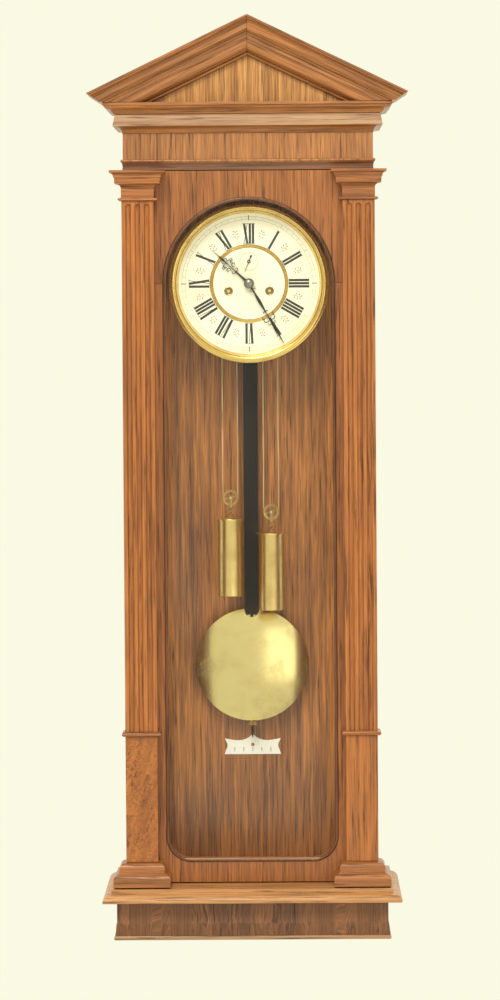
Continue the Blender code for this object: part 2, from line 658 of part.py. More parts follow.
def beside(x, rise):
    """A point (x, z) given from the dial's centre."""
    return (x, DIAL_Z + rise)


CENTRE = beside(0, 0)
GOING = beside(WINDING_X, -WINDING_DROP)
STRIKE = beside(-WINDING_X, -WINDING_DROP)
THIRD = beside(THIRD_X, THIRD_RISE)
ESCAPE = beside(0, SECONDS_RISE)
PALLET = beside(0, PALLET_RISE)
MINUTE_STUD = beside(0, -MOTION_DISTANCE)
HAMMER = beside(HAMMER_X, HAMMER_RISE)
BACK_FACE = BACK_PLATE_Y - PLATE      # inner face of the back plate
FRONT_FACE = FRONT_PLATE_Y - PLATE    # outer face of the front plate


def movement_plate(front):
    corners = [beside(-PLATE_HALF, -PLATE_DOWN), beside(PLATE_HALF, -PLATE_DOWN)]
    corners += [beside(PLATE_HALF, PLATE_UP), beside(-PLATE_HALF, PLATE_UP)]
    holes = [circle(spot, ARBOR_R + BORE, 12) for spot in (CENTRE, THIRD, PALLET, HAMMER)]
    holes += [circle(ESCAPE, ARBOR_R + BORE, 12)]
    holes += [circle(spot, DRUM_ARBOR_R + BORE, 12) for spot in (GOING, STRIKE)]
    return plate(corners, front, PLATE, holes)


def plates():
    back = movement_plate(BACK_FACE)
    for x, rise in PILLARS:
        joined(back, pin(x, DIAL_Z + rise, PILLAR_R, FRONT_PLATE_Y + GAP, BACK_FACE + PLATE / 2))
    piece("back_plate", back, BRASS)
    front = movement_plate(FRONT_FACE)
    for x, rise in DIAL_FEET:
        joined(front, pin(x, DIAL_Z + rise, FOOT_R, PAN_Y + GAP, FRONT_FACE + PLATE / 2))
    joined(front, pin(*MINUTE_STUD, STUD_R, PAN_Y + 2 * GAP, FRONT_FACE + PLATE / 2))
    piece("front_plate", front, BRASS)


def movement_bracket():
    """A flange on the back board with two arms under the plates, and a spine up to the pendulum's cock.

    A bar across the arms is where the lines end.
    """
    top = DIAL_Z - PLATE_DOWN - GAP
    under = top - BRACKET_BAR
    reach = PLATE_HALF - 0.003
    shape = block(-reach, reach, -BOARD - GAP - 0.004, -BOARD - GAP, top - BRACKET_FOOT, top)
    for hand in (-1, 1):
        left, right = sorted((hand * reach, hand * (reach - BRACKET_ARM)))
        joined(shape, block(left, right, FRONT_FACE, -BOARD - 0.002, under, top))
    bar = block(-reach + 0.001, reach - 0.001, WEIGHT_Y - 0.004, WEIGHT_Y + 0.004, under + 0.001, top - 0.001)
    for x in (-WINDING_X - LINE_PATH_R, WINDING_X - LINE_PATH_R):
        cut(bar, upright(x, WEIGHT_Y, LINE_HOLE_R, under - BRACKET_BAR, top + BRACKET_BAR))
    bottom = PIVOT_Z + GAP
    spine = block(-COCK_HALF, COCK_HALF, -BOARD - GAP - 0.003, -BOARD - GAP, under, bottom + COCK_HIGH)
    cock = block(-COCK_HALF, COCK_HALF, ROD_Y - ROD_THICK / 2, -BOARD - 0.001, bottom, bottom + COCK_HIGH - GAP)
    return piece("movement_bracket", joined(shape, bar, spine, cock), STEEL)


GONG_OUTER, GONG_INNER, GONG_TURNS = 0.048, 0.030, 2.25
GONG_WIRE = 0.0012
GONG_DROP = 0.030      # the coil's middle below the dial's centre
GONG_Y = -BOARD - 0.008


def gong():
    """A flat coil of steel wire on a post at its outer end."""
    curve = bpy.data.curves.new("coil", "CURVE")
    curve.dimensions = "3D"
    curve.bevel_depth = GONG_WIRE
    curve.bevel_resolution = 1
    curve.use_fill_caps = True
    steps = int(GONG_TURNS * 20)
    spline = curve.splines.new("POLY")
    spline.points.add(steps)
    for i, point in enumerate(spline.points):
        turn = 2 * math.pi * GONG_TURNS * i / steps
        radius = GONG_OUTER + (GONG_INNER - GONG_OUTER) * i / steps
        x, z = beside(radius * math.cos(turn), -GONG_DROP + radius * math.sin(turn))
        point.co = (x, GONG_Y, z, 1)
    carrier = bpy.data.objects.new("coil", curve)
    bpy.context.scene.collection.objects.link(carrier)
    mesh = baked(carrier)
    bpy.data.objects.remove(carrier, do_unlink=True)
    bm = bmesh.new()
    bm.from_mesh(mesh)
    post = pin(*beside(GONG_OUTER, -GONG_DROP), 0.004, GONG_Y - 0.003, -BOARD - GAP)
    return piece("gong", joined(post, shape_from(bm)), STEEL)


def dial():
    holes = [circle(spot, KEY_HOLE_R, 14) for spot in (GOING, STRIKE)]
    holes += [circle(CENTRE, HOUR_PIPE_R + 2 * BORE, 14), circle(ESCAPE, SECONDS_ARBOR_R + 3 * BORE, 12)]
    ring_hole = circle(CENTRE, INNER_RING_R + GAP, ROUND)
    piece("dial_chapter_ring", plate(circle(CENTRE, DIAL_R, ROUND), DIAL_Y, ENAMEL, [ring_hole]), CREAM)
    inside = INNER_RING_R - INNER_RING_WIDE
    pan = plate(circle(CENTRE, DIAL_R, ROUND), PAN_Y - PAN, PAN, holes)
    rise = PAN_Y - PAN / 2 - DIAL_Y + RING_PROUD
    ring = plate(circle(CENTRE, INNER_RING_R, ROUND), DIAL_Y - RING_PROUD, rise, [circle(CENTRE, inside, ROUND)])
    piece("dial_pan", joined(pan, ring), BRASS)
    piece("dial_centre", plate(circle(CENTRE, inside - GAP, ROUND), DIAL_Y, ENAMEL, holes), CREAM)
    lip = BEZEL_R - BEZEL_WIDE
    front = PAN_Y - BEZEL_DEEP
    profile = [(BEZEL_R, PAN_Y), (BEZEL_R, front + 0.0050), (BEZEL_R - 0.0020, front + 0.0012)]
    profile += [(BEZEL_R - 0.0050, front), (BEZEL_R - 0.0080, front + 0.0010), (lip, DIAL_Y - GAP)]
    seat = (DIAL_R + GAP) / math.cos(math.pi / ROUND)   # so that its flats clear the dial's corners
    profile += [(seat, DIAL_Y - GAP), (seat, PAN_Y)]
    piece("bezel", turned(profile, (0, 0, DIAL_Z), "Y", ROUND, ring=True), BRASS)


BEAT_HALF, BEAT_HIGH, BEAT_THICK = 0.0366, 0.0267, 0.0015


def beat_plate():
    """A small scale with a peaked top and notched ends, under the pendulum's pointer."""
    top = TIP_Z + BEAT_PLATE_OVER
    right = [(0.0150, -0.0030), (0.0260, -0.0048), (BEAT_HALF, -0.0046), (BEAT_HALF - 0.0050, -0.0110)]
    right += [(BEAT_HALF - 0.0030, -0.0180), (BEAT_HALF - 0.0012, -BEAT_HIGH)]
    outline = [(0, top)] + [(x, top + drop) for x, drop in right] + [(-x, top + drop) for x, drop in right[::-1]]
    shape = plate(outline, -BOARD - GAP - BEAT_THICK, BEAT_THICK)
    screw = turned([(0, -0.0008), (0.0022, -0.0008), (0.0015, -0.0026), (0, -0.0028)],
                   (0, -BOARD - GAP, top - BEAT_HIGH / 2), "Y", 12)
    return piece("beat_plate", joined(shape, screw), CREAM)


# ---------------------------------------------------------------- movement: turning pieces
CENTRE_PLANE = 0.0030  # distances of the planes in front of the back plate's inner face
DRUM_PLANE = 0.0065
GREAT_PLANE = DRUM_PLANE + DRUM_LONG + GAP
THIRD_PLANE = 0.0115
ESCAPE_PLANE = 0.0185
PINION_LONG = 0.0040
FLANGE_OUT = 0.0020
FLANGE = 0.0006
KEY_END = 0.0010       # winding squares behind the dial's face
CANNON_PLANE = 0.0006  # motion work, in front of the front plate's outer face
HOUR_PLANE = 0.0029
CANNON_PIPE_R = 0.0022
HOUR_PIPE_R = 0.0036
SECONDS_LIFT = 0.0010  # backs of the hands in front of the dial's face
HOUR_LIFT = 0.0030
MINUTE_LIFT = 0.0062
BOSS_DEEP = 0.0052
SECONDS_THICK = 0.0007
BOSS_PROUD = 0.0001    # a hand's boss, thicker than the hand on each face
MOTION_MODULE = 2 * MOTION_DISTANCE / (CANNON_TEETH + MINUTE_TEETH)
HOUR_MODULE = 2 * MOTION_DISTANCE / (MINUTE_PINION_TEETH + HOUR_TEETH)


def arbor(spot, radius=ARBOR_R, front=FRONT_FACE, back=BACK_PLATE_Y):
    return pin(*spot, radius, front, back)


def pivot_at(spot):
    return (spot[0], 0, spot[1])


def drum(spot):
    """A line drum with its flanges, on an arbor whose square end shows in the dial."""
    outer, inner = DRUM_R + FLANGE_OUT, DRUM_R
    y = BACK_FACE - DRUM_PLANE
    end = y - DRUM_LONG
    profile = [(0, y), (outer, y), (outer, y - FLANGE), (inner, y - FLANGE)]
    profile += [(inner, end + FLANGE), (outer, end + FLANGE), (outer, end), (0, end)]
    shape = turned(profile, (spot[0], 0, spot[1]), "Y", 20)
    return joined(shape, arbor(spot, DRUM_ARBOR_R, DIAL_Y + KEY_END))


def great_wheel(spot, teeth, radius, towards, shaft):
    module = 2 * radius / teeth
    front = BACK_FACE - GREAT_PLANE - WHEEL
    return toothed(spot, teeth, module, front, WHEEL, towards, False, shaft)


def going_side():
    piece("going_drum", drum(GOING), BRASS, pivot_at(GOING))
    radius = GREAT_MODULE * GREAT_TEETH / 2
    shaft = [circle(GOING, DRUM_ARBOR_R + GAP, 16)]
    wheel = great_wheel(GOING, GREAT_TEETH, radius, bearing(GOING, CENTRE), shaft)
    piece("going_great_wheel", wheel, BRASS, pivot_at(GOING))


def strike_side():
    radius = GREAT_MODULE * STRIKE_TEETH / 2
    wheel = great_wheel(STRIKE, STRIKE_TEETH, radius, bearing(STRIKE, CENTRE), [])
    wheel.data.transform(Matrix.Translation((0, GAP + FLANGE / 2, 0)))
    piece("strike_drum", joined(drum(STRIKE), wheel), BRASS, pivot_at(STRIKE))
    low = beside(HAMMER_X - HAMMER_LEAN, -GONG_DROP)
    shape = arbor(HAMMER, ARBOR_R, FRONT_FACE, GONG_Y - 0.003)
    lean = Vector((low[0] - HAMMER[0], 0, low[1] - HAMMER[1]))
    stalk = block(-0.0012, 0.0012, GONG_Y - 0.006, GONG_Y - 0.003, -lean.length, 0.004)
    turn = Matrix.Rotation(math.atan2(-lean.x, -lean.z), 4, "Y")
    stalk.data.transform(Matrix.Translation((HAMMER[0], 0, HAMMER[1])) @ turn)
    head = pin(*low, 0.005, GONG_Y - 0.0075, GONG_Y + 0.003)
    piece("hammer", joined(shape, stalk, head), STEEL, pivot_at(HAMMER))


def centre_wheel():
    """Centre arbor: wheel, pinion, cannon pinion and the pipe that the minute hand sits on."""
    face = BACK_FACE - CENTRE_PLANE - WHEEL
    openings = crossings(CENTRE, 0.004, 0.0145, 5, 0.002)
    shape = toothed(CENTRE, CENTRE_TEETH, CENTRE_MODULE, face, WHEEL, bearing(CENTRE, THIRD), False, openings)
    great_face = BACK_FACE - GREAT_PLANE - WHEEL / 2 - PINION_LONG / 2
    pinion = toothed(CENTRE, PINION_TEETH, GREAT_MODULE, great_face, PINION_LONG, bearing(CENTRE, GOING), True)
    cannon_face = FRONT_FACE - CANNON_PLANE - WHEEL
    down = bearing(CENTRE, MINUTE_STUD)
    cannon = toothed(CENTRE, CANNON_TEETH, MOTION_MODULE, cannon_face, WHEEL, down, True)
    pipe = arbor(CENTRE, CANNON_PIPE_R, DIAL_Y - MINUTE_LIFT - HAND_THICK + 2 * GAP, cannon_face + WHEEL / 2)
    joined(shape, pinion, arbor(CENTRE, ARBOR_R, cannon_face + WHEEL / 3), cannon, pipe)
    return piece("centre_wheel", shape, BRASS, pivot_at(CENTRE))


def third_wheel():
    face = BACK_FACE - THIRD_PLANE - WHEEL
    openings = crossings(THIRD, 0.004, 0.0122, 4, 0.002)
    towards = bearing(THIRD, ESCAPE)
    shape = toothed(THIRD, THIRD_TEETH, THIRD_MODULE, face, WHEEL, towards, False, openings)
    middle = BACK_FACE - CENTRE_PLANE - WHEEL / 2 - PINION_LONG / 2
    pinion = toothed(THIRD, PINION_TEETH, CENTRE_MODULE, middle, PINION_LONG, bearing(THIRD, CENTRE), True)
    return piece("third_wheel", joined(shape, pinion, arbor(THIRD)), BRASS, pivot_at(THIRD))


def escape_wheel():
    """Forty slanted teeth; the long front arbor carries the seconds hand."""
    outline = []
    for i in range(ESCAPE_TEETH):
        start = 2 * math.pi * i / ESCAPE_TEETH
        for reach, share in ((ESCAPE_R - 0.0018, 0.0), (ESCAPE_R, 0.62), (ESCAPE_R - 0.0017, 0.72)):
            angle = start + 2 * math.pi * share / ESCAPE_TEETH
            outline.append((ESCAPE[0] + reach * math.cos(angle), ESCAPE[1] + reach * math.sin(angle)))
    openings = crossings(ESCAPE, 0.003, 0.0105, 4, 0.0016)
    shape = plate(outline, BACK_FACE - ESCAPE_PLANE - WHEEL, WHEEL, openings)
    middle = BACK_FACE - THIRD_PLANE - WHEEL / 2 - PINION_LONG / 2
    pinion = toothed(ESCAPE, PINION_TEETH, THIRD_MODULE, middle, PINION_LONG, bearing(ESCAPE, THIRD), True)
    long_arbor = arbor(ESCAPE, SECONDS_ARBOR_R, DIAL_Y - SECONDS_LIFT - SECONDS_THICK)
    joined(shape, pinion, arbor(ESCAPE), long_arbor)
    return piece("escape_wheel", shape, BRASS, pivot_at(ESCAPE))


CRUTCH_LONG = 0.060
CRUTCH_OFF_ROD = 0.0045
CRUTCH_PIN_R = 0.001


def pallet_anchor():
    """Pallets on an arbor in line with the suspension, with the crutch behind the back plate."""
    x, z = PALLET
    right = [(0.0030, 0.0030), (0.0115, -0.0085), (0.0122, -0.0128), (0.0108, -0.0112), (0.0020, -0.0035)]
    outline = [(x + a, z + b) for a, b in right] + [(x - a, z + b) for a, b in right[::-1]]
    shape = plate(outline, BACK_FACE - ESCAPE_PLANE - WHEEL, WHEEL)
    arm_back = ROD_Y - ROD_THICK / 2 - CRUTCH_OFF_ROD + 0.0015
    joined(shape, arbor(PALLET, ARBOR_R, FRONT_FACE, arm_back - 0.0002))
    arm = block(x - 0.0016, x + 0.0016, arm_back - 0.0015, arm_back, z - CRUTCH_LONG, z + 0.0022)
    finger = pin(x, z - CRUTCH_LONG + 0.002, CRUTCH_PIN_R, arm_back - 0.0008, ROD_Y)
    return piece("pallet_anchor", joined(shape, arm, finger), STEEL, pivot_at(PALLET))


def motion_work():
    """The minute wheel on its stud, and the hour wheel on its pipe."""
    up = bearing(MINUTE_STUD, CENTRE)
    face = FRONT_FACE - CANNON_PLANE - WHEEL
    bore = [circle(MINUTE_STUD, STUD_R + GAP, 16)]
    shape = toothed(MINUTE_STUD, MINUTE_TEETH, MOTION_MODULE, face, WHEEL, up, False, bore)
    hour_face = FRONT_FACE - HOUR_PLANE - WHEEL
    deep = face + WHEEL / 2 - hour_face
    pinion = toothed(MINUTE_STUD, MINUTE_PINION_TEETH, HOUR_MODULE, hour_face, deep, up, True, bore)
    piece("minute_wheel", joined(shape, pinion), BRASS, pivot_at(MINUTE_STUD))
    bore = [circle(CENTRE, CANNON_PIPE_R + BORE, 16)]
    wheel = toothed(CENTRE, HOUR_TEETH, HOUR_MODULE, hour_face, WHEEL, -up, False, bore)
    end = DIAL_Y - HOUR_LIFT - HAND_THICK - GAP
    inner = CANNON_PIPE_R + BORE
    start = hour_face + WHEEL / 2
    pipe = turned([(inner, start), (HOUR_PIPE_R, start), (HOUR_PIPE_R, end), (inner, end)],
                  (0, 0, DIAL_Z), "Y", 16, ring=True)
    piece("hour_wheel", joined(wheel, pipe), BRASS, pivot_at(CENTRE))


def rotated(points, centre, angle):
    """Points drawn for a hand at twelve, turned clockwise to the angle."""
    cos, sin = math.cos(angle), math.sin(angle)
    return [(centre[0] + x * cos + z * sin, centre[1] - x * sin + z * cos) for x, z in points]


def both_sides(right):
    return right + [(-x, z) for x, z in right[::-1]]


def hand(centre, angle, right, back, thick, bore, boss):
    """A flat hand: its right-hand outline from tail to tip, round a boss with a bore."""
    shape = plate(rotated(both_sides(right), centre, angle), back - thick, thick)
    joined(shape, plate(circle(centre, boss, 20), back - thick - BOSS_PROUD, thick + 2 * BOSS_PROUD))
    return cut(shape, plate(circle(centre, bore, 16), back - 2 * thick, 3 * thick))


HOUR_OUTLINE = ((0.0024, 0.0020), (0.0012, 0.0200), (0.0030, 0.0235), (0.0016, 0.0265), (0.0052, 0.0330),
                (0.0062, 0.0390), (0.0048, 0.0440), (0.0014, 0.0490), (0.0030, 0.0530), (0.0006, 0.0600))
MINUTE_OUTLINE = ((0.0024, 0.0020), (0.0011, 0.0400), (0.0028, 0.0450), (0.0013, 0.0490), (0.0040, 0.0560),
                  (0.0044, 0.0610), (0.0030, 0.0670), (0.0010, 0.0710), (0.0020, 0.0750), (0.0005, 0.0860))


def hands():
    right = list(HOUR_OUTLINE) + [(0.0002, HOUR_HAND)]
    shape = hand(CENTRE, HOUR_ANGLE, right, DIAL_Y - HOUR_LIFT, HAND_THICK, HOUR_PIPE_R + GAP, 0.0058)
    piece("hour_hand", shape, BLUED, pivot_at(CENTRE))
    right = list(MINUTE_OUTLINE) + [(0.0002, MINUTE_HAND)]
    back = DIAL_Y - MINUTE_LIFT
    shape = hand(CENTRE, MINUTE_ANGLE, right, back, HAND_THICK, CANNON_PIPE_R + GAP, 0.0050)
    face = back - HAND_THICK + GAP
    dome = [(0, face), (BOSS_R, face), (BOSS_R, face - 0.0012), (BOSS_R * 0.8, face - BOSS_DEEP * 0.65)]
    dome += [(BOSS_R * 0.4, face - BOSS_DEEP * 0.95), (0, face - BOSS_DEEP)]
    joined(shape, turned(dome, (0, 0, DIAL_Z), "Y", 20))
    piece("minute_hand", shape, BLUED, pivot_at(CENTRE))
    right = [(0.0008, -SECONDS_TAIL), (0.0014, -SECONDS_TAIL * 0.75), (0.0005, -SECONDS_TAIL * 0.5)]
    right += [(0.0004, 0), (0.0002, SECONDS_HAND)]
    back = DIAL_Y - SECONDS_LIFT
    shape = hand(ESCAPE, SECONDS_ANGLE, right, back, SECONDS_THICK, SECONDS_ARBOR_R + GAP, 0.0020)
    piece("seconds_hand", shape, BLUED, pivot_at(ESCAPE))


# ---------------------------------------------------------------- pendulum
SPRING_WIDE, SPRING_THICK = 0.008, 0.0004
CHOPS_HALF, CHOPS_HIGH = 0.0045, 0.008
ROD_DROP = 0.0205      # the rod's top below the pivot
BOB_RIM = 0.0022       # half the bob's thickness at its rim
BOB_TRAVEL = 0.003     # free space above and below, for regulating


def suspension():
    """The suspension spring above the brass chops that the rod hooks on."""
    half = SPRING_WIDE / 2
    top = PIVOT_Z - SPRING_LONG
    leaf = block(-SPRING_THICK / 2, SPRING_THICK / 2, ROD_Y - half, ROD_Y + half, top - GAP, PIVOT_Z)
    chops = block(-CHOPS_HALF, CHOPS_HALF, ROD_Y - half, ROD_Y + half, PIVOT_Z - ROD_DROP + GAP, top)
    piece("suspension_spring", joined(chops, leaf), STEEL, (0, ROD_Y, PIVOT_Z))


def rod_outline(top, end, grow):
    """The wooden rod's outline, straight above and rounded at its lower end."""
    half = ROD_WIDE / 2 + grow
    return [(half, top), (-half, top)] + arc((0, end + ROD_WIDE / 2), half, 180, 360, 12)


def pendulum():
    pivot = (0, ROD_Y, PIVOT_Z)
    end = BOB_Z + BOB_R - ROD_END_IN_BOB
    rod = plate(rod_outline(PIVOT_Z - ROD_DROP, end, 0), ROD_Y - ROD_THICK / 2, ROD_THICK)
    slot = PIVOT_Z - CRUTCH_LONG + 0.002
    wide = CRUTCH_PIN_R + BORE
    cut(rod, block(-wide, wide, ROD_Y - ROD_THICK, ROD_Y + ROD_THICK, slot - 0.005, slot + 0.005))
    stem = turned([(0, TIP_Z), (STEM_R, TIP_Z + 0.008), (STEM_R, end + 0.004), (0, end + 0.004)],
                  (0, ROD_Y, 0), "Z", 12)
    piece("pendulum_rod", joined(rod, stem), EBONISED, pivot)

    bulge = BOB_THICK / 2 - BOB_RIM
    shares = (0, 0.30, 0.55, 0.75, 0.90, 1.0)
    face = [(BOB_R * s, BOB_RIM + bulge * (1 - s * s)) for s in shares]
    profile = face + [(r, -y) for r, y in face[::-1]]
    bob = turned(profile, (0, ROD_Y, BOB_Z), "Y", ROUND)
    notch_end = end - BOB_TRAVEL - GAP
    notch = plate(rod_outline(PIVOT_Z, notch_end, GAP), ROD_Y - BOB_THICK, 2 * BOB_THICK)
    bore = upright(0, ROD_Y, STEM_R + BORE, BOB_Z - 2 * BOB_R, BOB_Z + 2 * BOB_R)
    piece("pendulum_bob", cut(bob, notch, bore), BRASS, pivot)

    top = BOB_Z - BOB_R - NUT_GAP
    bottom = top - NUT_HIGH
    inner = STEM_R + GAP
    profile = [(inner, bottom), (NUT_R - 0.0006, bottom), (NUT_R, bottom + 0.0008)]
    profile += [(NUT_R, top - 0.0008), (NUT_R - 0.0006, top), (inner, top)]
    nut = turned(profile, (0, ROD_Y, 0), "Z", 20, ring=True)
    piece("rating_nut", nut, BRASS, (0, ROD_Y, bottom))


# ---------------------------------------------------------------- weights, pulleys and lines
CAP_THICK = 0.001
LEFT_CAP_R, RIGHT_CAP_R = 0.0180, 0.0197
FORK_OUT = 0.0032      # the fork's cheeks, either side of the pulley's middle plane
CHEEK = 0.0008
AXLE_R = 0.0012
PULLEY_FLANGE_R = LINE_PATH_R + 0.0010
PULLEY_HALF = 0.0022
PULLEY_RIM = 0.0030    # the rim's height, outside its web
FORK_LONG = 0.0140


def weight(hand, label, drop, cap_r):
    """A brass shell under its cap, with the fork and axle that hold the pulley."""
    x, cap = hand * WINDING_X, DIAL_Z - drop
    axle = cap + PULLEY_OVER_CAP
    low = cap - WEIGHT_LONG
    profile = [(0, low), (WEIGHT_R - 0.0006, low), (WEIGHT_R, low + 0.0006), (WEIGHT_R, cap - CAP_THICK)]
    profile += [(cap_r, cap - CAP_THICK), (cap_r, cap), (0, cap)]
    shape = turned(profile, (x, WEIGHT_Y, 0), "Z", 24)
    bend = axle - FORK_LONG
    joined(shape, upright(x, WEIGHT_Y, 0.0013, cap - 0.002, bend))
    bridge = block(x - 0.0025, x + 0.0025, WEIGHT_Y - FORK_OUT, WEIGHT_Y + FORK_OUT, bend - 0.002, bend + 0.001)
    joined(shape, bridge)
    for y in (WEIGHT_Y - FORK_OUT, WEIGHT_Y + FORK_OUT - CHEEK):
        joined(shape, block(x - 0.0022, x + 0.0022, y, y + CHEEK, bend - 0.001, axle + 0.0022))
    joined(shape, pin(x, axle, AXLE_R, WEIGHT_Y - FORK_OUT - 0.0004, WEIGHT_Y + FORK_OUT + 0.0004))
    return piece("weight_" + label, shape, BRASS, (x, WEIGHT_Y, axle))


def pulley(hand, label, drop):
    x, z = hand * WINDING_X, DIAL_Z - drop + PULLEY_OVER_CAP
    bore, outer, half = AXLE_R + BORE, PULLEY_FLANGE_R, PULLEY_HALF
    rim = outer - PULLEY_RIM
    floor, groove = LINE_PATH_R - LINE_R - GAP, LINE_R + 2 * GAP
    profile = [(rim, half), (outer, half), (outer, groove + GAP), (floor, groove)]
    profile += [(floor, -groove), (outer, -groove - GAP), (outer, -half), (rim, -half)]
    shape = turned(profile, (x, WEIGHT_Y, z), "Y", 20, ring=True)
    windows = crossings((x, z), 0.0032, 0.0070, 4, 0.0016) + [circle((x, z), bore, 12)]
    web = plate(circle((x, z), (rim + floor) / 2, 20), WEIGHT_Y - half / 2, half, windows)
    joined(shape, web)
    return piece("pulley_" + label, shape, BRASS, (x, WEIGHT_Y, z))


def line(hand, label, drop):
    """A gut line: down from the drum's left side, round under the pulley and up to the bracket's bar."""
    x, z = hand * WINDING_X, DIAL_Z - drop + PULLEY_OVER_CAP
    bar = DIAL_Z - PLATE_DOWN - BRACKET_BAR
    curve = bpy.data.curves.new("line", "CURVE")
    curve.dimensions = "3D"
    curve.bevel_depth = LINE_R
    curve.bevel_resolution = 1
    curve.use_fill_caps = True
    route = [(x - LINE_PATH_R, DIAL_Z - WINDING_DROP), (x - LINE_PATH_R, (DIAL_Z + z) / 2)]
    route += arc((x, z), LINE_PATH_R, 180, 360, 14)
    route += [(x + LINE_PATH_R, (DIAL_Z + z) / 2), (x + LINE_PATH_R, bar)]
    spline = curve.splines.new("POLY")
    spline.points.add(len(route) - 1)
    for point, (a, b) in zip(spline.points, route):
        point.co = (a, WEIGHT_Y, b, 1)
    carrier = bpy.data.objects.new("line", curve)
    bpy.context.scene.collection.objects.link(carrier)
    mesh = baked(carrier)
    bpy.data.objects.remove(carrier, do_unlink=True)
    bm = bmesh.new()
    bm.from_mesh(mesh)
    return piece("line_" + label, shape_from(bm), GUT)


def main():
    clear_scene()
    clock = bpy.data.objects.new("clock", None)
    bpy.context.scene.collection.objects.link(clock)
    clock.location = (0, 0, -HANG_HEIGHT)
    for make in (hanger_plate, back_board, frieze, top_board, cornice, tympanum, base_shelf, apron):
        make()
    for hand_side, label in ((-1, "left"), (1, "right")):
        side(hand_side, label)
        raking_cornice(hand_side, label)
        pilaster(hand_side, label)
        capital(hand_side, label)
        pilaster_base(hand_side, label)
    door_frame()
    door_fittings()
    for make in (plates, movement_bracket, gong, dial, beat_plate):
        make()
    for make in (going_side, strike_side, centre_wheel, third_wheel, escape_wheel, pallet_anchor):
        make()
    for make in (motion_work, hands, suspension, pendulum):
        make()
    for hand_side, label, drop, cap_r in ((-1, "left", LEFT_DROP, LEFT_CAP_R), (1, "right", RIGHT_DROP, RIGHT_CAP_R)):
        weight(hand_side, label, drop, cap_r)
        pulley(hand_side, label, drop)
        line(hand_side, label, drop)


main()
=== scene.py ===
# %% [markdown]
# A two-weight pendulum wall clock in an oak case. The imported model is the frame: it fixes every size and
# every moving body, and the cells below put the finished surfaces on it. Each visible piece is built in mesh
# code from the frame's own measures, so if the frame grows, the piece grows with it.

# %% The frame
import json
import math

import bmesh
import bpy
from mathutils import Matrix, Vector


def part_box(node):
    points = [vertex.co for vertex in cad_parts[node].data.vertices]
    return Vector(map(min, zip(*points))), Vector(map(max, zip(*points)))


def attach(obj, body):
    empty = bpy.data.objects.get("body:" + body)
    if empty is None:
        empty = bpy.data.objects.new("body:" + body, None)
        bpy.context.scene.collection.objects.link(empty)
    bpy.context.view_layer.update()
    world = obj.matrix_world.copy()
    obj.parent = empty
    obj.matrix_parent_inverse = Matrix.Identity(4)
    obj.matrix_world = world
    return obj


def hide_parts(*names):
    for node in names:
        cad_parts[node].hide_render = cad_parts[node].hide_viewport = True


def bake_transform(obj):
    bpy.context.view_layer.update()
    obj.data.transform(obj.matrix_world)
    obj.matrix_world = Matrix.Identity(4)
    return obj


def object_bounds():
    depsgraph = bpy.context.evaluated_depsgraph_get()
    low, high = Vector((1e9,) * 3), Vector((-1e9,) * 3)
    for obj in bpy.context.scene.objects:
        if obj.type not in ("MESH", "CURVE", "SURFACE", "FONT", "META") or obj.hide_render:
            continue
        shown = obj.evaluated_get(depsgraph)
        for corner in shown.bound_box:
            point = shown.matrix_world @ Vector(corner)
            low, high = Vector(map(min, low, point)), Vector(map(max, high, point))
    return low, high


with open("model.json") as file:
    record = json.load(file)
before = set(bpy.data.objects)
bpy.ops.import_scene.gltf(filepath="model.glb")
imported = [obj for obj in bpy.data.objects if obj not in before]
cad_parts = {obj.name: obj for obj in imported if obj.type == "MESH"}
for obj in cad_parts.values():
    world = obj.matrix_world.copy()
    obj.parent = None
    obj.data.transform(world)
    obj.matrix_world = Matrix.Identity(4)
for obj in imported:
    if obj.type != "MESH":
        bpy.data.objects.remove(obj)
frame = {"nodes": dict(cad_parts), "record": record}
cad_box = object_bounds()

# %% [markdown]
# Nothing is placed by eye. A node's box gives its lowest and highest corner, and this small record adds its
# middle and size, so that a piece can say "as wide as the frieze" and not repeat a number.


# %% Measures
class Span:
    """A node's box at rest."""

    def __init__(self, node):
        low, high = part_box(node)
        self.low, self.high = Vector(low), Vector(high)
        self.middle = (self.low + self.high) / 2
        self.size = self.high - self.low


MM = 0.001
dial = Span("dial_chapter_ring")
centre_x, centre_z = dial.middle.x, dial.middle.z
print("dial", [round(v / MM, 1) for v in dial.size], "mm")

# %% [markdown]
# The camera stands a little over four metres away with a long lens, level with the upper part of the clock,
# so the mouldings show their undersides near the top and their upper faces near the foot. The lens is
# shifted rather than tilted, because a shift keeps the tall case's sides parallel.

# %% Camera
camera_data = bpy.data.cameras.new("camera")
camera_data.lens = 118.75
camera_data.shift_x, camera_data.shift_y = -0.01449, -0.11199
camera = bpy.data.objects.new("camera", camera_data)
camera.location = (0.04305, -4.28139, -0.19472)
camera.rotation_euler = (math.pi / 2 - 0.02447, 0.00674, 0.00565)
bpy.context.scene.collection.objects.link(camera)
bpy.context.scene.camera = camera
print("camera lens", camera_data.lens, "mm")

# %% [markdown]
# Soft studio light: one large panel high in front, so that each ledge catches light on its upper face and
# throws a soft shadow under it, a weaker panel low in front that opens the shadows inside the case, and a
# pale world all round for the polished brass to reflect. The Standard view transform keeps the colours as
# they are mixed.

# %% Light and floor
bpy.context.scene.view_settings.view_transform = "Standard"
WORLD_COLOUR, WORLD_STRENGTH = (1.0, 0.99, 0.80), 0.96
FLOOR_DROP, FLOOR_RADIUS = 1.0, 0.9


def area_light(name, place, target, size, power, colour=(1.0, 0.97, 0.92)):
    light = bpy.data.lights.new(name, "AREA")
    light.shape = "RECTANGLE"
    light.size, light.size_y = size
    light.energy = power
    light.color = colour
    holder = bpy.data.objects.new(name, light)
    holder.location = place
    holder.rotation_euler = (Vector(target) - Vector(place)).to_track_quat("-Z", "Y").to_euler()
    bpy.context.scene.collection.objects.link(holder)
    return holder


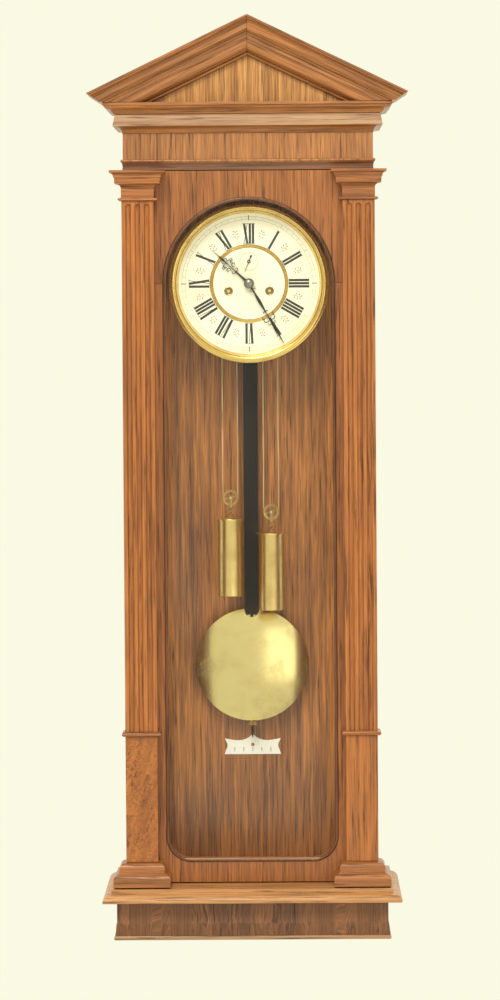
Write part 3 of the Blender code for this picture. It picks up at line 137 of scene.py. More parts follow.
world = bpy.data.worlds.new("studio")
world.use_nodes = True
world.node_tree.nodes["Background"].inputs["Color"].default_value = (*WORLD_COLOUR, 1)
world.node_tree.nodes["Background"].inputs["Strength"].default_value = WORLD_STRENGTH
bpy.context.scene.world = world
area_light("key", (-0.5, -2.6, 1.9), (0, 0, -0.4), (1.2, 0.9), 56)
area_light("fill", (1.1, -3.0, -0.6), (0, 0, -0.5), (1.4, 1.8), 8)
area_light("rim", (0.6, 2.4, 1.6), (0, 0, -0.4), (1.6, 1.2), 25)

# %% [markdown]
# A shader is a sum, and reads best as one. This class wraps one socket of a material and overloads the
# arithmetic signs, so that "1 - mask" adds the Math node that works it out. Numbers alone never reach a
# node, because Python has already worked them out.


# %% Sums on sockets
def add_node(tree, kind, settings, sockets, output=0):
    """Adds one node: its settings first, then the values or links of its sockets."""
    node = tree.nodes.new(kind)
    for name, value in settings.items():
        setattr(node, name, value)
    for name, value in sockets.items():
        if isinstance(value, Wire):
            tree.links.new(value.socket, node.inputs[name])
        else:
            node.inputs[name].default_value = value
    return Wire(tree, node.outputs[output])


class Wire:
    """One socket of a material, ready for arithmetic."""

    def __init__(self, tree, socket):
        self.tree, self.socket = tree, socket

    def node(self, kind, settings, sockets, output=0):
        return add_node(self.tree, kind, settings, sockets, output)

    def math(self, operation, first, second=0.0):
        return self.node("ShaderNodeMath", {"operation": operation}, {0: first, 1: second})

    def __add__(self, other):
        return self.math("ADD", self, other)

    def __sub__(self, other):
        return self.math("SUBTRACT", self, other)

    def __rsub__(self, other):
        return self.math("SUBTRACT", other, self)

    def __mul__(self, other):
        return self.math("MULTIPLY", self, other)

    def __truediv__(self, other):
        return self.math("DIVIDE", self, other)

    __radd__ = __add__
    __rmul__ = __mul__

    def magnitude(self):
        return self.math("ABSOLUTE", self)

    def sine(self):
        """The sine, brought to 0 to 1."""
        return self.math("SINE", self) * 0.5 + 0.5

    def band(self, low, high):
        """0 below low, 1 above high and smooth between, or the reverse where low is above high."""
        limits = {"Value": self, "From Min": low, "From Max": high}
        return self.node("ShaderNodeMapRange", {"interpolation_type": "SMOOTHSTEP"}, limits)


# %% [markdown]
# A finish is a Principled shader and the nodes that feed it. What is the same all over goes on the shader's
# own socket; what varies over the surface is wired in. Noise is read from the object's own coordinates, in
# metres, so that grain keeps its real size on a small bead and on a long board.


# %% A finish
class Finish:
    """One material being mixed."""

    def __init__(self, name, constants):
        self.material = bpy.data.materials.new(name)
        self.material.use_nodes = True
        self.tree = self.material.node_tree
        self.shader = self.tree.nodes["Principled BSDF"]
        for socket, value in constants.items():
            self.shader.inputs[socket].default_value = value
        self.place = self.node("ShaderNodeTexCoord", {}, {}, "Object")
        self.normal = self.node("ShaderNodeTexCoord", {}, {}, "Normal")

    def node(self, kind, settings, sockets, output=0):
        return add_node(self.tree, kind, settings, sockets, output)

    def parts(self, vector):
        """A vector's three numbers."""
        return [self.node("ShaderNodeSeparateXYZ", {}, {0: vector}, i) for i in range(3)]

    def vector(self, x, y, z):
        return self.node("ShaderNodeCombineXYZ", {}, {0: x, 1: y, 2: z})

    def stretched(self, scale, shift=(0, 0, 0)):
        """The place on the object, times a scale for each axis, plus a shift."""
        settings = {"operation": "MULTIPLY_ADD"}
        return self.node("ShaderNodeVectorMath", settings, {0: self.place, 1: scale, 2: shift})

    def noise(self, vector, detail=2.0, roughness=0.5, distortion=0.0, scale=1.0):
        values = {"Vector": vector, "Scale": scale, "Detail": detail}
        values.update({"Roughness": roughness, "Distortion": distortion})
        return self.node("ShaderNodeTexNoise", {}, values)

    def mix(self, factor, first, second):
        """A blend of two colours, each a wire or three numbers."""
        settings = {"data_type": "RGBA"}
        colours = [c if isinstance(c, Wire) else (*c, 1) for c in (first, second)]
        return self.node("ShaderNodeMix", settings, {0: factor, 6: colours[0], 7: colours[1]}, 2)

    def feed(self, socket, wire):
        self.tree.links.new(wire.socket, self.shader.inputs[socket])

    def bump(self, height, distance, strength=1.0):
        sockets = {"Height": height, "Distance": distance, "Strength": strength}
        self.feed("Normal", self.node("ShaderNodeBump", {}, sockets))


def linear(red, green, blue):
    """A colour given as display values out of 255, as the shader wants it."""
    shares = [value / 255 for value in (red, green, blue)]
    return tuple(s / 12.92 if s < 0.0404 else ((s + 0.055) / 1.055) ** 2.4 for s in shares)


# %% [markdown]
# Oak under old varnish. What the eye reads is, from coarse to fine: slow changes of tone along a board,
# bands where the growth rings are cut, and short dark pores that follow the grain. Each is a noise stretched
# along the grain by a different amount. The pores also dent the surface a little, and the varnish is a clear
# coat that is thinner where the wood has been handled. A joiner saws each piece from its own part of the
# plank, so each piece shifts the noise by its own number.

# %% Oak
GRAIN_SQUEEZE = 0.030     # how much slower the grain changes along a board than across it


def grain_place(oak, axis, turn, shift):
    """Coordinates whose third number runs along the grain, and the other two across it."""
    sockets = {"Vector": oak.place, "Angle": turn}
    place = oak.node("ShaderNodeVectorRotate", {"rotation_type": "Y_AXIS"}, sockets)
    x, y, z = oak.parts(place)
    along, across = {"X": (x, z), "Z": (z, x)}[axis]
    if axis == "X":
        side = oak.parts(oak.normal)[0].magnitude().band(0.6, 0.8)
        along = x * (1 - side) + y * side
        depth = y * (1 - side) + x * side
    else:
        depth = y
    return oak.vector(across + shift, depth + 0.37 * shift, along * GRAIN_SQUEEZE + shift)


def oak_finish(name, light, dark, axis="Z", turn=0.0, shift=0.0, contrast=1.0, coat=0.35, figure=None):
    oak = Finish(name, {"Coat Roughness": 0.16, "Specular IOR Level": 0.4})
    place = grain_place(oak, axis, turn, shift)
    wander = oak.noise(place, scale=9.0, detail=2.0)
    swirled = oak.node("ShaderNodeVectorMath", {"operation": "MULTIPLY_ADD"},
                       {0: wander, 1: (0.012, 0.012, 0.0), 2: place})
    if figure:
        swirled = figure(oak, swirled)
    bands = oak.noise(swirled, scale=150.0, detail=3.0, roughness=0.6).band(0.32, 0.68)
    streaks = oak.noise(swirled, scale=480.0, detail=2.0, roughness=0.6).band(0.34, 0.66)
    late = oak.noise(swirled, scale=300.0, detail=2.0).band(0.52, 0.60)
    pores = oak.noise(swirled, scale=900.0, detail=1.0).band(0.52, 0.62) * (late * 0.6 + 0.4)
    tone = oak.noise(oak.stretched((5.0, 5.0, 3.0), (shift, 0, shift)), detail=2.0).band(0.3, 0.7)
    share = bands * 0.40 + streaks * 0.35 + tone * 0.25
    colour = oak.mix((share - 0.5) * contrast + 0.5, dark, light)
    shade = tuple(0.36 * value for value in dark)
    colour = oak.mix(late * 0.34 + pores * 0.50, colour, shade)
    oak.feed("Base Color", colour)
    oak.feed("Roughness", 0.34 + 0.22 * pores + 0.10 * tone)
    oak.feed("Coat Weight", coat * (1 - 0.5 * pores))
    oak.bump(streaks * 0.35 - pores, 0.00025, 0.5)
    return oak.material


def plume(oak, place):
    """Crotch veneer: upright ripple that closes into an arrow on either side of the middle."""
    x, y, z = oak.parts(oak.place)
    from_arrow = (x.magnitude() - 0.115).magnitude()
    near = from_arrow.band(0.040, 0.010)
    across, depth, along = oak.parts(place)
    ripple = oak.noise(oak.stretched((26.0, 4.0, 26.0)), detail=3.0) * 0.010
    return oak.vector(across * 0.6 + ripple + (from_arrow - 0.6 * z) * near * 0.5, depth, along)


def burl(oak, place):
    """Burl: the fibres swirl round many buds, so the grain has no direction."""
    eddies = oak.noise(oak.stretched((70.0, 70.0, 70.0)), detail=3.0, distortion=1.8)
    x, y, z = oak.parts(oak.place)
    return oak.vector(x * 0.40 + eddies * 0.014, y, z * 0.22 + eddies * 0.018)

# %% [markdown]
# The case was stained, so its pieces differ: dark on the veneered foot, redder on the door, and pale on the
# ledges, the shelf and the beads, partly from polish rubbed away by cleaning and faded by light, and partly as
# a painted highlight of the light on their upper faces. Each finish is the same recipe with its own two tones.

# %% The oaks
SLOPE = math.radians(25.8)
TONES = {
    "board": (linear(204, 130, 56), linear(104, 56, 18)),
    "door": (linear(192, 118, 56), linear(120, 68, 28)),
    "pilaster": (linear(204, 124, 56), linear(128, 72, 28)),
    "frieze": (linear(200, 132, 72), linear(126, 78, 38)),
    "fascia": (linear(146, 94, 58), linear(94, 56, 32)),
    "pediment": (linear(238, 176, 100), linear(156, 100, 44)),
    "cornice": (linear(196, 126, 64), linear(122, 72, 34)),
    # Partly painted highlight: these two pale tones stand for real wear and for the light on upper faces.
    "pale_wear_and_highlight": (linear(206, 164, 124), linear(146, 100, 64)),
    "shelf": (linear(226, 168, 106), linear(158, 100, 56)),
    "foot": (linear(150, 94, 48), linear(88, 50, 22)),
    "die": (linear(196, 118, 50), linear(140, 78, 30)),
    "lip": (linear(132, 78, 40), linear(76, 42, 20)),
}
oak = {
    "back": oak_finish("oak_back_board", *TONES["board"], shift=1.3, contrast=1.3),
    "side": oak_finish("oak_sides", *TONES["door"], shift=2.1),
    "frieze": oak_finish("oak_frieze", *TONES["frieze"], shift=3.7),
    "fascia": oak_finish("oak_fascia", *TONES["fascia"], axis="X", shift=3.1),
    "tympanum": oak_finish("oak_tympanum", *TONES["pediment"], shift=4.4, contrast=1.3),
    "cornice": oak_finish("oak_cornice", *TONES["cornice"], axis="X", shift=5.2),
    # The ledge, the shelf and the beads: a pale tone that is partly wear and partly a painted highlight.
    "ledge": oak_finish("oak_ledge_wear_painted_highlight", *TONES["pale_wear_and_highlight"], axis="X", shift=6.8, coat=0.15, contrast=0.8),
    "shelf": oak_finish("oak_shelf_wear_painted_highlight", *TONES["shelf"], axis="X", shift=6.1, coat=0.25, contrast=0.8),
    "rake_left": oak_finish("oak_rake_left", *TONES["cornice"], axis="X", turn=SLOPE, shift=7.1),
    "rake_right": oak_finish("oak_rake_right", *TONES["cornice"], axis="X", turn=-SLOPE, shift=8.6),
    "stile": oak_finish("oak_stiles", *TONES["door"], shift=9.4),
    "head": oak_finish("oak_door_head", *TONES["door"], shift=10.9, contrast=1.1),
    "pilaster": oak_finish("oak_pilasters", *TONES["pilaster"], shift=11.6, coat=0.45),
    "moulding": oak_finish("oak_mouldings", *TONES["door"], axis="X", shift=12.2, coat=0.45),
    "die_left": oak_finish("oak_burl_die", *TONES["die"], shift=13.5, contrast=1.1, figure=burl),
    "die_right": oak_finish("oak_straight_die", *TONES["die"], shift=14.7),
    "foot": oak_finish("oak_apron_veneer", *TONES["foot"], shift=15.8, contrast=1.3, coat=0.3, figure=plume),
    "lip": oak_finish("oak_dark_lip", *TONES["lip"], shift=16.1, coat=0.5),
}
print("oak finishes:", len(oak))

# %% [markdown]
# Polished brass is nearly a mirror, so its look is mostly what it reflects. What tells it from gold paint is
# the fine turning left by the lathe, which spreads the reflection, and the first brown bloom of tarnish. The
# turning is noise read along the distance from the piece's own axis; the bloom is slow noise that lifts the
# roughness and warms the colour.


# %% Brass
def around(mix, centre, axis):
    """Distance from an axis through the centre."""
    place = mix.node("ShaderNodeVectorMath", {"operation": "SUBTRACT"}, {0: mix.place, 1: centre})
    keep = {"X": (0, 1, 1), "Y": (1, 0, 1), "Z": (1, 1, 0)}[axis]
    flat = mix.node("ShaderNodeVectorMath", {"operation": "MULTIPLY"}, {0: place, 1: keep})
    return mix.node("ShaderNodeVectorMath", {"operation": "LENGTH"}, {0: flat}, "Value")


def metal_finish(name, bright, bloomed, low, high, turned_about=None, bloom=0.5, axis="Y"):
    metal = Finish(name, {"Metallic": 1.0})
    patches = metal.noise(metal.place, scale=38.0, detail=4.0, roughness=0.6).band(0.42, 0.72)
    specks = metal.noise(metal.place, scale=700.0, detail=2.0).band(0.60, 0.72)
    if turned_about is None:
        lines = metal.noise(metal.stretched((900.0, 900.0, 60.0)), detail=2.0)
    else:
        radius = around(metal, turned_about, axis)
        lines = metal.noise(metal.vector(radius * 1600.0, patches * 0.6, 0.0), detail=1.0)
    metal.feed("Base Color", metal.mix((patches * 0.7 + specks * 0.3) * bloom, bright, bloomed))
    metal.feed("Roughness", low + (high - low) * lines + 0.12 * patches + 0.10 * specks)
    metal.bump(lines, 0.00002, 0.6)
    return metal.material


BRASS_BRIGHT, BRASS_BLOOM = (0.80, 0.58, 0.22), (0.42, 0.27, 0.09)
bob_span = Span("pendulum_bob")
brass = metal_finish("brass_lacquered", BRASS_BRIGHT, BRASS_BLOOM, 0.16, 0.30)
bob_brass = metal_finish("brass_bob_turned", (0.72, 0.60, 0.26), BRASS_BLOOM, 0.10, 0.24,
                         tuple(bob_span.middle), 0.35)
bezel_brass = metal_finish("brass_bezel_spun", (0.78, 0.56, 0.17), (0.36, 0.21, 0.05), 0.16, 0.28,
                           tuple(dial.middle), 0.6)
plate_brass = metal_finish("brass_plates", (0.80, 0.62, 0.30), (0.45, 0.31, 0.13), 0.28, 0.42)
shell_brass = metal_finish("brass_weight_shells", (0.76, 0.56, 0.22), (0.40, 0.26, 0.08), 0.24, 0.34)
dull_brass = metal_finish("brass_toned_dark", (0.40, 0.27, 0.10), (0.18, 0.11, 0.04), 0.24, 0.40)
steel = metal_finish("steel_satin", (0.60, 0.60, 0.61), (0.34, 0.30, 0.26), 0.28, 0.42)
blued = metal_finish("steel_blued", (0.030, 0.030, 0.034), (0.07, 0.05, 0.035), 0.30, 0.46)
boss_steel = metal_finish("steel_grey_boss", (0.26, 0.24, 0.22), (0.18, 0.14, 0.10), 0.22, 0.38)

# %% [markdown]
# Enamel is glass fired on metal: a bright clean gloss with a very slight orange-peel, a cream that is not
# quite even, and age in it as a few faint freckles. The painted marks are matt and dark by comparison.


# %% Enamel, paint and glass
def enamel_finish(name, colour, aged):
    enamel = Finish(name, {"Coat Weight": 0.6, "Coat Roughness": 0.05})
    cloud = enamel.noise(enamel.place, scale=24.0, detail=3.0).band(0.40, 0.75)
    freckles = enamel.noise(enamel.place, scale=420.0, detail=2.0).band(0.66, 0.74)
    enamel.feed("Base Color", enamel.mix(cloud * 0.6 + freckles * 0.4, colour, aged))
    enamel.feed("Roughness", 0.20 + 0.12 * cloud)
    enamel.bump(enamel.noise(enamel.place, scale=90.0, detail=1.0), 0.0001, 0.15)
    return enamel.material


def paint_finish(name, colour, faded, roughness=0.5):
    paint = Finish(name, {"Roughness": roughness})
    wear = paint.noise(paint.place, scale=260.0, detail=3.0).band(0.45, 0.75)
    paint.feed("Base Color", paint.mix(wear, colour, faded))
    return paint.material


def glass_finish(name):
    """Old sheet glass: clear, with a faint film that thickens in slow clouds."""
    glass = Finish(name, {"Base Color": (0.93, 0.94, 0.88, 1), "Roughness": 0.04, "IOR": 1.5})
    haze = glass.noise(glass.stretched((5.0, 5.0, 2.0)), detail=3.0).band(0.40, 0.80)
    glass.feed("Alpha", 0.008 + 0.02 * haze)
    return glass.material


def ebonised_finish(name):
    """Pear wood stained black and waxed: the grain shows only as a change of gloss."""
    black = Finish(name, {"Specular IOR Level": 0.15})
    grain = black.noise(black.stretched((700.0, 700.0, 18.0)), detail=3.0)
    rub = black.noise(black.place, scale=22.0, detail=3.0).band(0.5, 0.8)
    black.feed("Base Color", black.mix(rub * 0.6, (0.016, 0.012, 0.009), (0.06, 0.042, 0.028)))
    black.feed("Roughness", 0.30 + 0.25 * grain)
    black.bump(grain, 0.00003, 0.3)
    return black.material


def gut_finish(name, radius, twist=0.004):
    """Twisted gut: pale straw, with the strands showing as a slanting ripple."""
    gut = Finish(name, {"Roughness": 0.5, "Coat Weight": 0.2})
    x, y, z = gut.parts(gut.place)
    strand = (z / twist * math.tau + x / radius).sine()
    stain = gut.noise(gut.stretched((60.0, 60.0, 25.0)), detail=2.0).band(0.4, 0.7)
    gut.feed("Base Color", gut.mix(stain * 0.6 + strand * 0.2 + 0.2, (0.72, 0.55, 0.28), (0.36, 0.24, 0.10)))
    gut.bump(strand, radius / 5, 0.6)
    return gut.material


CREAM = linear(252, 250, 224)
enamel = enamel_finish("enamel_cream", CREAM, linear(244, 236, 196))
scale_white = enamel_finish("enamel_white", linear(250, 250, 240), linear(236, 232, 214))
ink = paint_finish("paint_black", (0.018, 0.020, 0.018), (0.05, 0.05, 0.045))
faint_ink = paint_finish("paint_grey", linear(150, 158, 138), linear(176, 182, 160))
sprig_red = paint_finish("paint_russet", linear(150, 78, 62), linear(184, 122, 100))
sprig_grey = paint_finish("paint_sage", linear(92, 92, 70), linear(130, 128, 104))
clear_glass = glass_finish("glass_clear")
ebonised = ebonised_finish("ebonised_pear")
gut = gut_finish("gut_line", 0.0006)
print("materials:", len(bpy.data.materials))

# %% [markdown]
# Every piece below goes through one function, which makes the object, gives it its finish, softens its
# arrises with a small bevel, names the body it moves with and hides the plain solid it stands for. A real
# edge is never perfectly sharp: the bevel is what catches the light along it.


# %% Making a piece
SAME_POINT = 1e-7      # metres: points this close are one
GAP = 0.3 * MM         # what two touching pieces keep between them
SAW = 0.1              # longer than any piece is deep
BODY_OF = {node: body for body, nodes in frame["record"]["behaviour"]["bodies"].items() for node in nodes}


def piece(name, bm, material, stands_for, bevel=0.0, body=None, sharp=35, segments=2):
    """Names a finished mesh and joins it to the frame."""
    bmesh.ops.remove_doubles(bm, verts=bm.verts, dist=SAME_POINT)
    bmesh.ops.recalc_face_normals(bm, faces=bm.faces)
    mesh = bpy.data.meshes.new(name)
    bm.to_mesh(mesh)
    bm.free()
    mesh.shade_smooth()
    mesh.materials.append(material)
    obj = bpy.data.objects.new(name, mesh)
    bpy.context.scene.collection.objects.link(obj)
    if bevel:
        softened = obj.modifiers.new("arris", "BEVEL")
        softened.width, softened.segments = bevel, segments
        softened.limit_method, softened.angle_limit = "ANGLE", math.radians(sharp)
        softened.harden_normals = True
    else:
        mesh.set_sharp_from_angle(angle=math.radians(sharp))
    nodes = [stands_for] if isinstance(stands_for, str) else list(stands_for)
    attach(obj, body or BODY_OF[nodes[0]])
    if nodes:
        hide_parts(*nodes)
    return obj


def arc(centre, radius, start, end, steps):
    turns = [math.radians(start + (end - start) * i / steps) for i in range(steps + 1)]
    return [(centre[0] + radius * math.cos(t), centre[1] + radius * math.sin(t)) for t in turns]


def box(low, high):
    bm = bmesh.new()
    bmesh.ops.create_cube(bm, size=1.0)
    low, high = Vector(low), Vector(high)
    size = high - low
    bm.transform(Matrix.Translation((low + high) / 2) @ Matrix.Diagonal((*size, 1.0)))
    return bm


def merged(*meshes):
    """Several closed meshes as one."""
    whole = bmesh.new()
    for bm in meshes:
        held = bpy.data.meshes.new("held")
        bm.to_mesh(held)
        bm.free()
        whole.from_mesh(held)
        bpy.data.meshes.remove(held)
    return whole


def slab(outline, front, thick, holes=()):
    """A flat piece seen from the front, cut from sheet: outlines of (x, z), its face at y = front."""
    curve = bpy.data.curves.new("outline", "CURVE")
    curve.dimensions, curve.fill_mode, curve.extrude = "2D", "BOTH", thick / 2
    for loop in (outline, *holes):
        spline = curve.splines.new("POLY")
        spline.points.add(len(loop) - 1)
        for point, (x, z) in zip(spline.points, loop):
            point.co = (x, z, 0, 1)
        spline.use_cyclic_u = True
    carrier = bpy.data.objects.new("outline", curve)
    bpy.context.scene.collection.objects.link(carrier)
    graph = bpy.context.evaluated_depsgraph_get()
    mesh = bpy.data.meshes.new_from_object(carrier.evaluated_get(graph))
    bpy.data.objects.remove(carrier, do_unlink=True)
    bm = bmesh.new()
    bm.from_mesh(mesh)
    bpy.data.meshes.remove(mesh)
    bm.transform(Matrix.Translation((0, front + thick / 2, 0)) @ Matrix.Rotation(math.pi / 2, 4, "X"))
    bmesh.ops.remove_doubles(bm, verts=bm.verts, dist=SAME_POINT)
    return bm


def in_turn(loops, closed):
    """Each loop with the next one, and the last with the first when the chain is closed."""
    return list(zip(loops, loops[1:])) + ([(loops[-1], loops[0])] if closed else [])


def lathe(profile, centre, axis="Z", sides=96, ring=False, wave=None):
    """A turned piece from (radius, along) pairs. wave(radius, along, angle) may move the radius."""
    bm = bmesh.new()
    loops = []
    for radius, along in profile:
        loop = []
        for i in range(sides if radius else 1):
            turn = math.tau * i / sides
            reach = radius + (wave(radius, along, turn) if wave else 0)
            loop.append(bm.verts.new((reach * math.cos(turn), reach * math.sin(turn), along)))
        loops.append(loop)
    for low, high in in_turn(loops, ring):
        for i in range(sides):
            j = (i + 1) % sides
            corners = [low[i % len(low)], low[j % len(low)], high[j % len(high)], high[i % len(high)]]
            corners = list(dict.fromkeys(corners))
            if len(corners) > 2:
                bm.faces.new(corners)
    if axis == "Y":
        bm.transform(Matrix.Rotation(-math.pi / 2, 4, "X"))
    if axis == "X":
        bm.transform(Matrix.Rotation(math.pi / 2, 4, "Y"))
    bm.transform(Matrix.Translation(centre))
    return bm


def tube(points, radius, sides=10, closed=False):
    """A round bar along a path, its radius one number or one for each point."""
    path = [Vector(p) for p in points]
    radii = radius if isinstance(radius, (list, tuple)) else [radius] * len(path)
    bm = bmesh.new()
    loops = []
    side = None
    for i, spot in enumerate(path):
        before = path[i - 1] if i or closed else path[0]
        after = path[(i + 1) % len(path)] if i < len(path) - 1 or closed else path[-1]
        ahead = (after - before).normalized()
        if side is None:
            side = ahead.orthogonal().normalized()
        side = (side - ahead * side.dot(ahead)).normalized()
        up = ahead.cross(side)
        turns = [math.tau * k / sides for k in range(sides)]
        ring = [spot + radii[i] * (side * math.cos(t) + up * math.sin(t)) for t in turns]
        loops.append([bm.verts.new(p) for p in ring])
    for low, high in in_turn(loops, closed):
        for k in range(sides):
            j = (k + 1) % sides
            bm.faces.new((low[k], low[j], high[j], high[k]))
    if not closed:
        bm.faces.new(loops[0])
        bm.faces.new(loops[-1])
    return bm


def carved(bm, *cutters, operation="DIFFERENCE"):
    """The mesh with other meshes cut from it."""
    holders = []
    for shape in (bm, *cutters):
        bmesh.ops.recalc_face_normals(shape, faces=shape.faces)
        mesh = bpy.data.meshes.new("blank")
        shape.to_mesh(mesh)
        shape.free()
        holder = bpy.data.objects.new("blank", mesh)
        bpy.context.scene.collection.objects.link(holder)
        holders.append(holder)
    blank = holders[0]
    for cutter in holders[1:]:
        modifier = blank.modifiers.new("cut", "BOOLEAN")
        modifier.operation, modifier.object = operation, cutter
    graph = bpy.context.evaluated_depsgraph_get()
    mesh = bpy.data.meshes.new_from_object(blank.evaluated_get(graph))
    result = bmesh.new()
    result.from_mesh(mesh)
    for holder in holders:
        bpy.data.objects.remove(holder, do_unlink=True)
    return result


# %% [markdown]
# A joiner's moulding is a chain of a few classic shapes: the flat fillet, the hollow cove, the round ovolo
# and the double-curved cyma. Each is written here as a quarter of a circle or two, so a profile reads like
# the drawing of it, from its lowest point upwards. The chain is then run along the front of a board and back
# along both ends, with mitred corners.


# %% Mouldings
class Profile:
    """A moulding drawn from the bottom up, as (projection, height) pairs."""

    STEPS = 6

    def __init__(self, out, z):
        self.points = [(out, z)]

    def to(self, out, z):
        self.points.append((out, z))
        return self

    def quarter(self, out, z, hollow):
        """A quarter round or hollow to a new projection and height."""
        start_out, start_z = self.points[-1]
        for i in range(1, self.STEPS + 1):
            t = math.pi / 2 * i / self.STEPS
            a, b = (1 - math.cos(t), math.sin(t)) if hollow else (math.sin(t), 1 - math.cos(t))
            self.to(start_out + (out - start_out) * a, start_z + (z - start_z) * b)
        return self

    def cove(self, out, z):
        return self.quarter(out, z, True)

    def ovolo(self, out, z):
        return self.quarter(out, z, False)

    def cyma(self, out, z):
        start_out, start_z = self.points[-1]
        middle = ((start_out + out) / 2, (start_z + z) / 2)
        return self.quarter(*middle, True).quarter(out, z, False)

    def bead(self, out, z):
        """A half round standing out as far as out, ending at height z over its start."""
        start_out, start_z = self.points[-1]
        rise = z - start_z
        for i in range(1, 2 * self.STEPS + 1):
            t = math.pi * i / (2 * self.STEPS)
            self.to(start_out + (out - start_out) * math.sin(t), start_z + rise * (1 - math.cos(t)) / 2)
        return self


def run_moulding(profile, left, right, front, back):
    """The profile run along a front and back along two ends."""
    bm = bmesh.new()
    loops = []
    for out, z in profile.points:
        ahead = front - out
        corners = ((left - out, back), (left - out, ahead), (right + out, ahead), (right + out, back))
        loops.append([bm.verts.new((x, y, z)) for x, y in corners])
    for low, high in zip(loops, loops[1:]):
        for i in range(4):
            j = (i + 1) % 4
            bm.faces.new((low[i], low[j], high[j], high[i]))
    bm.faces.new(loops[0])
    bm.faces.new(loops[-1])
    return bm

# %% [markdown]
# The head of the case, from the door up: a frieze of upright figured veneer over a small bead and a fascia,
# a pale ledge on a cove, and the cornice that the pediment stands on. The profiles repeat the frame's
# projections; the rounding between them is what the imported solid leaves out.

# %% Frieze, ledge and cornice
frieze, ledge, crown = Span("frieze"), Span("top_board"), Span("cornice")
CROWN_OUT = 24 * MM
face_half = crown.size.x / 2 - CROWN_OUT      # the plane that all of these mouldings start from
face_y = crown.low.y + CROWN_OUT


def across(profile, back):
    return run_moulding(profile, -face_half, face_half, face_y, back)


z = frieze.low.z
FASCIA_HIGH = 9.3 * MM
shape = Profile(0.5 * MM, z).cove(0.2 * MM, z + 4 * MM).to(0.8 * MM, z + 8.5 * MM)
shape.to(1.4 * MM, z + FASCIA_HIGH)
piece("fascia_board", across(shape, frieze.high.y), oak["fascia"], "frieze", 0.2 * MM)
z += FASCIA_HIGH
shape = Profile(1.4 * MM, z).to(1.4 * MM, z + 0.7 * MM).bead(3.0 * MM, z + 4.1 * MM).to(0, z + 4.6 * MM)
shape.to(0, frieze.high.z)
piece("frieze_board", across(shape, frieze.high.y), oak["frieze"], "frieze", 0.25 * MM)

z = ledge.low.z
shape = Profile(0.5 * MM, z).to(0.5 * MM, z + 0.8 * MM).cove(9.5 * MM, z + 8.4 * MM)
piece("ledge_cove", across(shape, ledge.high.y), oak["cornice"], "top_board", 0.2 * MM)
shape = Profile(9.5 * MM, z + 8.4 * MM).to(12 * MM, z + 8.7 * MM).to(12 * MM, z + 9.9 * MM)
shape.to(9.2 * MM, ledge.high.z)
# The ledge's pale tone is partly wear and partly a painted highlight on its upper face.
piece("ledge_wear_painted_highlight", across(shape, ledge.high.y), oak["ledge"], "top_board", 0.4 * MM)

z = crown.low.z
shape = Profile(11.5 * MM, z).to(12.2 * MM, z + 1.9 * MM).to(13.0 * MM, z + 2.1 * MM)
shape.cyma(22.5 * MM, z + 10.0 * MM).to(CROWN_OUT, z + 10.2 * MM).to(CROWN_OUT, crown.high.z)
piece("cornice_moulding", across(shape, crown.high.y), oak["cornice"], "cornice", 0.3 * MM)

# %% [markdown]
# The two sloping mouldings of the pediment carry the same cyma as the cornice. Each is run along its slope,
# then cut by an upright mitre at the peak and by a returned end over the cornice, the way a mitre saw would.

# %% Raking cornices
rake = Span("raking_cornice_right")
rake_top_out = face_y - rake.low.y
RAKE_SHAPE = (Profile(rake_top_out, 0).to(rake_top_out, 2.4 * MM)
              .to(42.0 * MM, 2.6 * MM).to(41.4 * MM, 4.6 * MM)
              .ovolo(34.5 * MM, 10.5 * MM).cove(27.0 * MM, 18.6 * MM).to(26.5 * MM, 20.6 * MM)
              .to(25.0 * MM, 20.8 * MM).to(24.6 * MM, 26.0 * MM).to(23.2 * MM, 26.2 * MM)
              .to(22.6 * MM, 31.6 * MM).cove(11.2 * MM, 39.6 * MM).to(11.2 * MM, 40.2 * MM)
              .bead(13.0 * MM, 43.0 * MM).to(8.5 * MM, 43.8 * MM))
END_SLOPE, TIP_RISE, MITRE = math.radians(33), 10.2 * MM, 0.15 * MM


def raking_moulding(hand):
    down = Vector((hand * math.cos(SLOPE), 0, -math.sin(SLOPE)))
    under = Vector((-hand * math.sin(SLOPE), 0, -math.cos(SLOPE)))
    deep = RAKE_SHAPE.points[-1][1]
    bm = bmesh.new()
    loops = []
    for along in (-deep, rake.size.x / math.cos(SLOPE) + deep):
        start = Vector((0, 0, rake.high.z)) + down * along
        rim = [start + under * s + Vector((0, face_y - out, 0)) for out, s in RAKE_SHAPE.points]
        rim += [start + under * s + Vector((0, rake.high.y, 0)) for s in (deep, 0)]
        loops.append([bm.verts.new(p) for p in rim])
    count = len(loops[0])
    for i in range(count):
        j = (i + 1) % count
        bm.faces.new((loops[0][i], loops[0][j], loops[1][j], loops[1][i]))
    bm.faces.new(loops[0])
    bm.faces.new(loops[1])
    low, high = rake.low.z, rake.high.z + deep
    foot = rake.high.x - TIP_RISE / math.tan(END_SLOPE)
    top = foot + (high - low) / math.tan(END_SLOPE)
    keep = [(hand * x, h) for x, h in ((MITRE, low), (foot, low), (top, high), (MITRE, high))]
    return carved(bm, slab(keep, face_y - SAW, 2 * SAW), operation="INTERSECT")


for hand, label in ((-1, "left"), (1, "right")):
    piece("rake_" + label, raking_moulding(hand), oak["rake_" + label],
          "raking_cornice_" + label, 0.3 * MM)

# %% [markdown]
# The foot: a pale shelf with a rounded, much-rubbed nose that widens downwards, its pale tone partly wear and
# partly a painted highlight of the light on its sloped face, and under it the dark apron with a
# crotch-veneered face and a bead along its lower edge.

